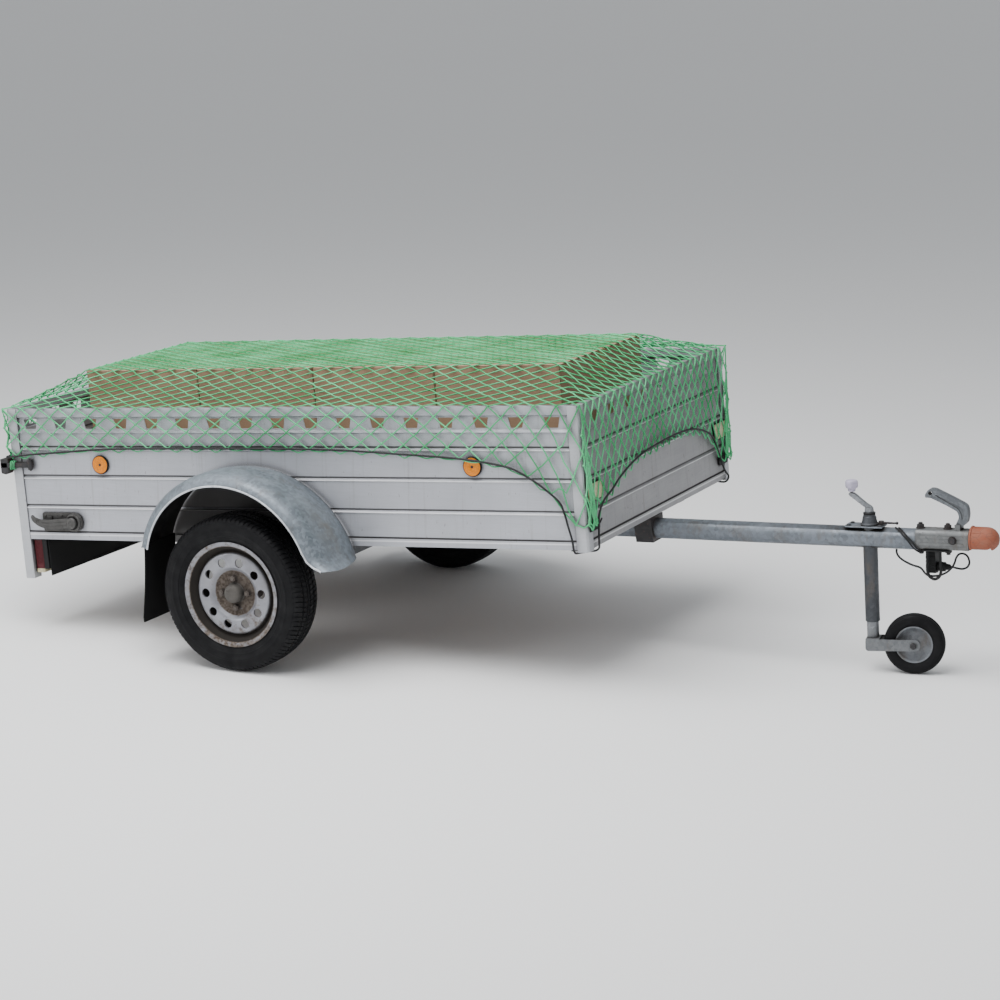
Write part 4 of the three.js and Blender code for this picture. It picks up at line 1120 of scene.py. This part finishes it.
def build_jockey_crank():
    x = JOCKEY_X
    hub = lathe(
        rounded([(0, 84.6), (15, 84.6), (15, 92), (13.5, 101), (0, 101)], 1.5, 3), (x, 0, 0), "z", 48,
    )
    spindle = rod("z", (-120, 86), (x, 0), 8)
    arm = [
        (x + 14, 90), (x + 8, 104), (x - 8, 113), (x - 50, 147), (x - 67, 148), (x - 67, 141),
        (x - 14, 102),
    ]
    arm = slab(rounded(arm, 5), -9, 9, "y")
    pin = rod("z", (140, 176), (x - 58, 0), 5)
    part(
        "jockey_winding_crank", merged(hub, spindle, arm, pin), "leg_tube", BAR, "jockey_crank", "zinc",
        "jockey_crank", edge=1.6,
    )
    shape = [
        (5.4, 152), (11, 152), (12.5, 155), (12.5, 161), (19, 164), (21, 168), (21.5, 184), (18.5, 190),
        (10, 191.5),
        (0, 191.5), (0, 176.5), (5.4, 176.5),
    ]
    turned = lathe(rounded(shape, 1.8, 3), (0, 0, 0), "z", 64)
    points = []
    for px, py, pz in turned[0]:
        r = math.hypot(px, py)
        swell = 1 + 0.055 * math.cos(4 * math.atan2(py, px)) * (r > 14) - 0.05 * (r > 14)
        points.append((px * swell + x - 58, py * swell, pz))
    knob = (points, turned[1])
    part(
        "jockey_crank_handle", knob, "white_plastic", BAR, "jockey_crank", "white_plastic",
        "jockey_crank_knob", sharp=50,
    )


def build_jockey_clamp():
    x = JOCKEY_X + 40
    pivot = lathe(rectangle(0, 9, 44, 56, 1.5, 3), (x, 0, 0), "z", 36)
    lever = rod("x", (x + 4, x + 56), (0, 50), 4, 3.2)
    end = ball((x + 54, 0, 50), 5.2, rows=10, sides=24)
    part(
        "jockey_clamp_tommy_bar", merged(pivot, lever, end), "black_steel", BAR, "jockey_clamp",
        "dark_steel", "jockey_clamp_lever",
    )


def build_jockey_wheel():
    cheek = [
        (-22, -14), (-16, -20), (TRAIL + 10, -19), (TRAIL + 22, -10), (TRAIL + 22, 10), (TRAIL + 10, 19),
        (-22, 20),
    ]
    cheek = rounded(cheek, 8, 5)
    parts = [slab(cheek, -36, -31, "y"), slab(cheek, 31, 36, "y"), block((-22, 24), (-32, 32), (8, 20.4))]
    for s in (-1, 1):
        parts.append(rod("y", (s * 35, s * 42), (TRAIL, 0), 10.5, sides=6))
        parts.append(rod("y", (s * 30, s * 44), (TRAIL, 0), 6))
        parts.append(rod("y", (s * 35.5, s * 37.5), (TRAIL, 0), 13))
    parts.append(rod("y", (-34, 34), (TRAIL, 0), 8))
    part(
        "jockey_wheel_fork", merged(*parts), "zinc_frame", SWIVEL, "jockey_swivel", "galvanised_steel",
        "jockey_fork", edge=1.2,
    )
    nuts = [rod("y", (s * 42.2, s * 47), (TRAIL, 0), 12, 8, 6) for s in (-1, 1)]
    part(
        "jockey_axle_nuts", merged(*nuts), "black_steel", SWIVEL, "jockey_swivel", "dark_steel", edge=0.8,
    )
    where = SWIVEL @ Matrix.Translation((TRAIL, 0, 0))
    disc = [
        (8.4, -24), (16, -24), (18, -9), (32, -5), (42, -6), (52, -13), (58, -21), (63, -22), (63, -18),
        (60, -17),
        (60, 17), (63, 18), (63, 22), (58, 21), (52, 13), (42, 6), (32, 5), (18, 9), (16, 24), (8.4, 24),
    ]
    part(
        "jockey_wheel_disc", lathe(rounded(disc, 2, 2), sides=80), "zinc_sheet", where, "jockey_wheel",
        "galvanised_steel", "jockey_wheel_rim",
    )
    half = [
        (61, 18), (66, 21), (72, 25), (80, 26), (90, 26), (93, 24.5), (94, 22.5), (97, 21), (100, 16),
        (101.2, 10), (101.7, 5),
    ]
    tread = [*half, (99.5, 3.5), (99.5, -3.5), *((r, -y) for r, y in reversed(half))]
    tyre = piece("jockey_wheel_tyre", *lathe(tread, sides=96), FINISH["tyre"], where)
    weather(tyre, where, lambda p: 0.7 if math.hypot(p.x, p.z) > 95 else 0.2)
    place(tyre, "jockey_wheel", "tyre_rubber", "jockey_tyre")


def build_coupling():
    shoulder = 900.4
    neck = [(-33, -26), (33, -26), (36, -18), (36, 26), (27, 38), (-27, 38), (-36, 26), (-36, -18)]
    neck = slab(rounded(neck, 7), shoulder, BALL_X - 44, "x")
    head = [(0, 1076), (33, 1076), (33, BALL_X), *dome(33, BALL_X, 9)]
    body = piece("coupling_head", *neck, FINISH["pale_zinc"], BAR)
    lugs = [block((1030, 1048), y, (30, 57)) for y in ((-22, -15.6), (15.6, 22))]
    carved(body, BAR, lathe(head, (0, 0, 6), "x", 64), *lugs, operation="UNION")
    ribs = []
    for side in (-1, 1):
        for low in (-12, 12):
            ribs.append(slab(rectangle(912, 1062, low, low + 9, 4), side * 34, side * 37.5, "y"))
    carved(body, BAR, *ribs, operation="UNION")
    bore = rod("z", (-60, -2), (BALL_X, 0), 25.3, sides=48)
    pocket = block((1076, 1104), (-13, 13), (-60, 2))
    carved(body, BAR, ball((BALL_X, 0, -2), 25.3, rows=16, sides=48), bore, pocket)
    bevelled(body, 1.0)
    place(body, "chassis", "galvanised_steel", "coupling_body")

    bolts = []
    for x in (909, 1001):
        at = (x, 0)
        bolts += [
            rod("z", (37.5, 41), at, 15), rod("z", (40, 51), at, 12.5, sides=6),
            rod("z", (50, 57), at, 7),
        ]
        bolts += [rod("z", (-41, -29.6), at, 12.5, sides=6), rod("z", (-30, -26.4), at, 15)]
        bolts.append(rod("z", (-48, -40), at, 7))
    for s in (-1, 1):
        bolts += [
            rod("y", (s * 36.4, s * 39), (1026, 8), 14),
            rod("y", (s * 38, s * 48), (1026, 8), 12, sides=6),
        ]
    part("coupling_bolts", merged(*bolts), "black_steel", BAR, "chassis", "dark_steel", edge=0.9)

    jaw = slab(
        rounded([(1084, -24), (1093, -24), (1094, -12), (1092, -1), (1084, -1)], 1.5), -11, 11, "y",
    )
    part(
        "coupling_ball_jaw", jaw, "black_steel", BAR, "coupling_jaw", "dark_steel", "coupling_jaw",
        edge=0.8,
    )


def build_coupling_handle():
    x, z = 1040, 49
    neck = [
        (x, z - 9), (x + 10, z - 2), (1069, 62), (1074, 84), (1073, 105), (1069, 119), (1057, 127),
        (1010, 150), (961, 172), (944, 171), (931, 153), (932, 142), (948, 143), (1000, 120), (1038, 100),
        (1044, 82), (x - 9, z + 5),
    ]
    handle = piece(
        "coupling_lift_handle", *slab(rounded(neck, 7), -15, 15, "y"), FINISH["cast_zinc"], BAR,
    )
    carved(handle, BAR, rod("y", (-15, 15), (x, z), 10.4), operation="UNION")
    carved(handle, BAR, rod("y", (-20, 20), (949, 158), 6.5))
    hollow = [
        (1053, 70), (1061, 90), (1058, 108), (1045, 117), (970, 152), (963, 152), (1042, 108), (1050, 92),
    ]
    for s in (-1, 1):
        carved(handle, BAR, slab(rounded(hollow, 4), s * 12, s * 16, "y"))
    place(bevelled(handle, 2.2), "coupling_handle", "zinc", "coupling_handle")


def build_bumper_cap():
    nose = BALL_X + 10
    outside = [(0, nose - 52), (40, nose - 52), (40, nose), *dome(40, nose, 6)]
    inside = [(0, nose - 60), (34.2, nose - 60), (34.2, BALL_X), *dome(34.2, BALL_X, 9)]
    cap = piece("coupling_nose_cap", *lathe(outside, (0, 0, 9), "x", 72), FINISH["faded_orange"], BAR)
    lip = [(39, nose - 52), (42.5, nose - 52), (42.5, nose - 46), (39, nose - 44)]
    lip = lathe(rounded(lip, 1.5), (0, 0, 9), "x", 72)
    carved(cap, BAR, lip, operation="UNION")
    cuts = [
        lathe(inside, (0, 0, 6), "x", 72),
        block((nose - 62, BALL_X + 27), (-27, 27), (-60, -12)),
        block((nose - 62, nose + 60), (-60, 60), (-80, -26)),
    ]
    carved(cap, BAR, *cuts)
    place(bevelled(cap, 0.9), "chassis", "faded_orange", "coupling_bumper_cap")


def build_plug_and_socket():
    housing = slab(rectangle(-22, 26, -108, -27, 6), 932, 962, "x")
    plate = slab(rectangle(925, 1015, -43, 26, 5), -31, -27, "z")
    collar = lathe(rectangle(15.6, 21, 950, 962, 1.2), (0, 4, -90), "x", 56)
    ribs = [slab(rectangle(-24, 28, z, z + 4, 1), 930, 960, "x") for z in (-98, -84, -70, -56)]
    loop = [
        (941, -38, -29), (941, -38, -60), (941, -38, -100), (948, -38, -116), (963, -38, -123),
        (978, -38, -116),
        (985, -38, -100), (985, -38, -60), (985, -38, -29),
    ]
    eye = tube(smooth_path(loop, 60), 5, 14)
    part(
        "plug_socket_block", merged(housing, plate, collar, *ribs, eye), "black_plastic", BAR, "chassis",
        "black_plastic", "plug_parking_socket", edge=1.2,
    )
    shape = [
        (0, 962.4), (15, 962.4), (15, 972), (16.4, 973), (16.4, 979), (15, 980), (15, 988), (10.5, 992),
        (9.5, 1001), (7, 1006), (0, 1006),
    ]
    body = lathe(rounded(shape, 0.8, 2), (0, 4, -90), "x", 56)
    grips = [rod("x", (981, 989), at, 1.6, 1.2, 12) for at in circle(10, 14.3, (4, -90))]
    plug = part(
        "lead_plug", merged(body, *grips), "black_plastic", BAR, "chassis", "black_plastic",
        "trailer_plug",
    )
    return plug


LEAD_RADIUS = 3.5
# Centreline of the lead, in the drawbar's frame: out of the tube's underside, down in a long bight,
# up under the coupling, and down round into the plug.
LEAD_ROUTE = [
    (827, -6, -35.6), (827, -7, -45), (832, -9, -56), (843, -12, -66), (862, -15, -76), (885, -17, -85),
    (910, -18, -92), (935, -26, -113), (962, -22, -116), (990, -20, -108), (1014, -24, -90),
    (1028, -27, -70),
    (1034, -26, -52), (1041, -21, -41), (1052, -13, -39), (1063, -6, -46), (1069, -1, -60),
    (1069, 2, -76),
    (1060, 4, -89), (1044, 5, -95), (1026, 4.5, -93), (1014, 4, -90.5), (1006.4, 4, -90),
]


def build_lead(plug):
    path = smooth_path(LEAD_ROUTE, 150)
    lead = part(
        "hanging_lead", tube(path, LEAD_RADIUS, 14), "cable", BAR, "chassis", "black_rubber",
        "trailer_lead", sharp=60,
    )
    world = [BAR @ Vector(p) for p in path]
    length = sum((b - a).length for a, b in zip(world, world[1:]))
    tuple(world[
            0
        ])


def build_front():
    build_drawbar()
    build_jockey_leg()
    build_jockey_crank()
    build_jockey_clamp()
    build_jockey_wheel()
    build_coupling()
    build_coupling_handle()
    build_bumper_cap()


# ---------------------------------------------------------------- cartons, net and edge rope
CARTON_X = (-869, 1041)
CARTON_Y = (-315, 360)
CARTON_TOP = 958
NET_OUT = 628.5
NET_REAR, NET_FRONT = -1024.5, 1250.5
ROPE_Y, ROPE_REAR, ROPE_FRONT = 633.9, -1029.9, 1255.9
# Centreline of the edge rope: (y, z) on the tailgate, (x, z) along a side, round under a front post, and
# (y, z) across the front wall, where it hangs unevenly.
ROPE_ACROSS_REAR = [(0, 705), (-420, 703), (-575, 700), (-612, 699)]
ROPE_ALONG_SIDE = [
    (-985, 702), (-920, 708), (-793, 716), (-618, 727), (-407, 730), (0, 731), (356, 727), (584, 714),
    (805, 699), (941, 680), (1000, 665), (1046, 641), (1085, 617), (1124, 587), (1158, 556), (1171, 520),
    (1180, 481), (1190, 438),
]
ROPE_UNDER_POST = [
    (1193, -ROPE_Y, 415), (1193, -631, 398), (1193, -619, 387), (1196, -601, 384), (1206, -585, 383.5),
    (1225, -571, 384), (1243, -566, 386), (1253, -567, 394),
]
ROPE_ACROSS_FRONT = [
    (-569, 408), (-568, 422), (-565, 445), (-551, 503), (-510, 538), (-434, 563), (-362, 591),
    (-204, 628),
    (-3, 641), (145, 642), (264, 633), (353, 613), (440, 576), (491, 506), (528, 445), (558, 416),
    (569, 408),
]
COLUMNS, ROWS = 56, 46  # half meshes along the bed and across it
SKIRT, FRONT_FLAP, REAR_FLAP = 5, 8, 5  # half meshes outside the walls
TWINE = 2.4
CORD_RADIUS = 3.5
RAIL_TOP = 872
FOLD_REAR, FOLD_FRONT, FOLD_SIDE = -1023, 1249, 627  # the net's folds over the walls
REAR_HEM, CORNER_HEM = 703.0, 482.0


def rope_route():
    """The closed run of the edge rope, from the middle of the tailgate round the right side first."""
    right = [(ROPE_REAR, y, z) for y, z in ROPE_ACROSS_REAR]
    right += [(-1026, -630, 699), (-1012, -ROPE_Y, 700)]
    right += [(x, -ROPE_Y, z) for x, z in ROPE_ALONG_SIDE] + ROPE_UNDER_POST
    across = [(ROPE_FRONT, y, z) for y, z in ROPE_ACROSS_FRONT]
    return [*right, *across, *((x, -y, z) for x, y, z in reversed(right))]


def build_cartons():
    """Four taped cartons: board body, two lid flaps that meet under a strip of tape."""
    low, top = 412.4, CARTON_TOP
    pitch = (CARTON_X[1] - CARTON_X[0] + 3) / 4
    for i in range(4):
        x0 = CARTON_X[0] + i * pitch
        x1 = x0 + pitch - 3
        y0, y1 = CARTON_Y
        body = slab(rectangle(x0 + 1, x1 - 1, y0 + 1, y1 - 1, 5, 3), low, top - 5, "z")
        middle = (y0 + y1) / 2 + 2 * (i - 1)
        flaps = [
            slab(rectangle(x0 + 0.5, x1 - 0.5, a, b, 3, 2), top - 4.8, top - 0.8, "z")
            for a, b in ((y0 + 0.5, middle - 1.5), (middle + 1.5, y1 - 0.5))
        ]
        box = piece(f"carton_{i + 1}_board", *merged(body, *flaps), FINISH["cardboard"])
        weather(box, LEVEL, lambda p: 0.6 if p.z > top - 2 and min(p.x - x0, x1 - p.x) < 4 else 0.0)
        place(bevelled(box, 1.4), "chassis", "cardboard", f"carton_{i + 1}")
        strip = slab(rectangle(x0 + 6, x1 - 6, middle - 30, middle + 30, 2, 1), top - 0.9, top - 0.4, "z")
        ends = [
            slab(rectangle(x - 0.3, x + 0.3, top - 0.4, top - 70), middle - 30, middle + 30, "y") for x in (
                x0 + 0.2, x1 - 0.2,
            )
        ]
        place(
            piece(f"carton_{i + 1}_tape", *merged(strip, *ends), FINISH["tape"]), "chassis", "cardboard",
        )


def tent_height(x, y):
    """Height of the net's cord over the load: flat on the cartons, sagging to the rails."""
    rear, right = (x - FOLD_REAR) / (CARTON_X[0] - FOLD_REAR), (y + FOLD_SIDE) / (CARTON_Y[0] + FOLD_SIDE)
    front, left = (FOLD_FRONT - x) / (FOLD_FRONT - CARTON_X[1]), (FOLD_SIDE - y) / (
        FOLD_SIDE - CARTON_Y[1]
    )
    rise = max(0.0, min(rear, front, right, left, 1.0))
    low = RAIL_TOP + 0.5
    return low + (CARTON_TOP + 3.5 - low) * rise - 26 * rise * (1 - rise)


def hem_height(line, value):
    """Height of the edge rope at a place along one of its lines, down to where the corner hem hangs."""
    return max(CORNER_HEM, float(np.interp(value, [a for a, _ in line], [b for _, b in line])))


def net_point(i, j):
    """A point of the net, i half meshes forward of its rear fold and j to the left of its right fold."""
    x = FOLD_REAR + ((FOLD_FRONT - FOLD_REAR) / COLUMNS) * min(max(i, 0), COLUMNS)
    y = -FOLD_SIDE + (2 * FOLD_SIDE / ROWS) * min(max(j, 0), ROWS)
    front, rear = max(0.0, i - COLUMNS) / FRONT_FLAP, max(0.0, -i) / REAR_FLAP
    down_end = max(front, rear)
    down_side = max(max(0.0, j - ROWS), max(0.0, -j)) / SKIRT
    side = -1 if j < ROWS / 2 else 1
    wander = 2.4 * math.sin(2.1 * i + 1.3 * j) * math.cos(0.7 * i - 2.9 * j)
    if down_end == 0 and down_side == 0:
        return Vector((x + wander, y + 0.6 * wander, tent_height(x, y)))
    end_x = NET_FRONT if front else NET_REAR
    end_hem = hem_height(ROPE_ACROSS_FRONT, y) if front else REAR_HEM
    if down_side == 0:
        return Vector((end_x, y + wander, RAIL_TOP - down_end * (RAIL_TOP - end_hem)))
    if down_end == 0:
        hem = hem_height(ROPE_ALONG_SIDE, x)
        return Vector((x + wander, side * NET_OUT, RAIL_TOP - down_side * (RAIL_TOP - hem)))
    fold = math.atan2(down_side, down_end) / (math.pi / 2)
    gather = math.sin(math.pi * fold)
    drop = max(down_end, down_side)
    corner_hem = CORNER_HEM if front else REAR_HEM - 1
    out = 3 if front else -3
    height = RAIL_TOP - drop * (RAIL_TOP - corner_hem) + 6 * gather
    return Vector((end_x + out * gather, side * (NET_OUT - 62 * gather * drop), height))


def build_net():
    """Knotted diamond netting, a twine at a time, with its hem meshes hanging in loops from the rope."""
    parts = []
    first, last = -REAR_FLAP, COLUMNS + FRONT_FLAP
    low, high = -SKIRT, ROWS + SKIRT
    steps = np.linspace(0, 1, 4)
    for i in range(first, last + 1):
        for j in range(low, high + 1):
            if (i + j) % 2:
                continue
            knot = net_point(i, j)
            parts.append(ball(knot, 4.3, (1.15, 1.0, 0.85), 4, 7))
            for way in (-1, 1):
                a, b = i + 1, j + way
                if a > last or not low <= b <= high:
                    continue
                line = [net_point(i + (a - i) * t, j + (b - j) * t) for t in steps]
                line[0], line[-1] = knot, net_point(a, b)
                parts.append(tube(line, TWINE, 5))
    for i in range(first, last - 1):
        for j, parity in ((low, low), (high, high)):
            if (i + parity) % 2 == 0:
                parts.append(hem_loop(net_point(i, j), net_point(i + 2, j), 9))
    for j in range(low, high - 1):
        for i, droop in ((first, 8), (last, 20)):
            if (i + j) % 2 == 0:
                parts.append(hem_loop(net_point(i, j), net_point(i, j + 2), droop))
    net = piece("knotted_cargo_net", *merged(*parts), FINISH["net_twine"], LEVEL, 60)
    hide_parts("cargo_net")
    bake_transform(net)


def hem_loop(a, b, droop):
    """The slack hem twine between two knots, hanging over and below the rope."""
    middle = (a + b) / 2
    lean = Vector((middle.x - 113, middle.y, 0)).normalized() * 4
    sway = 4 * math.sin(3.7 * middle.x + 1.9 * middle.y)
    span = (b - a) * 0.2 * 1.1
    low = middle + lean + Vector((0, 0, -droop + sway))
    before = middle - span + lean * 0.8 - Vector((0, 0, droop * 0.55))
    after = middle + span + lean * 0.8 - Vector((0, 0, droop * 0.5))
    return tube(smooth_path([a, before, low, after, b], 10), TWINE, 5)


def build_rope():
    """Braided elastic rope threaded through the hem and hooked under both front posts."""
    line = smooth_path(rope_route(), 1500)
    rope = piece("braided_edge_rope", *tube(line, CORD_RADIUS, 12), FINISH["black_cord"], LEVEL, 60)
    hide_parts("net_edge_rope")
    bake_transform(rope)


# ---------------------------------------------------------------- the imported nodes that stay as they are
def dress(names, material, edge):
    """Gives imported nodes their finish, with welded and slightly rounded edges."""
    for name in names:
        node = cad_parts[name]
        node.data.materials.clear()
        node.data.materials.append(FINISH[material])
        weld = node.modifiers.new("weld", "WELD")
        weld.merge_threshold = 1e-5
        bevelled(node, edge, 2, 28)


def dress_bed():
    dress(["right_wall", "left_wall", "tailgate"], "planks", 0.7)
    dress(["front_wall"], "streaked_and_shaded_front_planks", 0.7)
    posts = [f"{end}_{side}_post" for end in ("rear", "front") for side in ("right", "left")]
    dress(posts, "posts", 1.5)
    dress(["floor_panel"], "plywood", 0.8)
    dress(["right_frame_rail", "left_frame_rail", "axle_beam"], "zinc_frame", 1.2)
    dress(["right_trailing_arm", "left_trailing_arm"], "zinc_frame", 2)
    dress(["drawbar_crossmember"], "black_steel", 1.5)
    dress(["lamp_board"], "black_plastic", 1.0)


# ---------------------------------------------------------------- the scene
add_camera()
add_studio()
FINISH = make_materials()
build_wheels()
build_mudguards()
build_side_fittings()
build_front()
build_lead(build_plug_and_socket())
dress_bed()
build_cartons()
build_net()
build_rope()
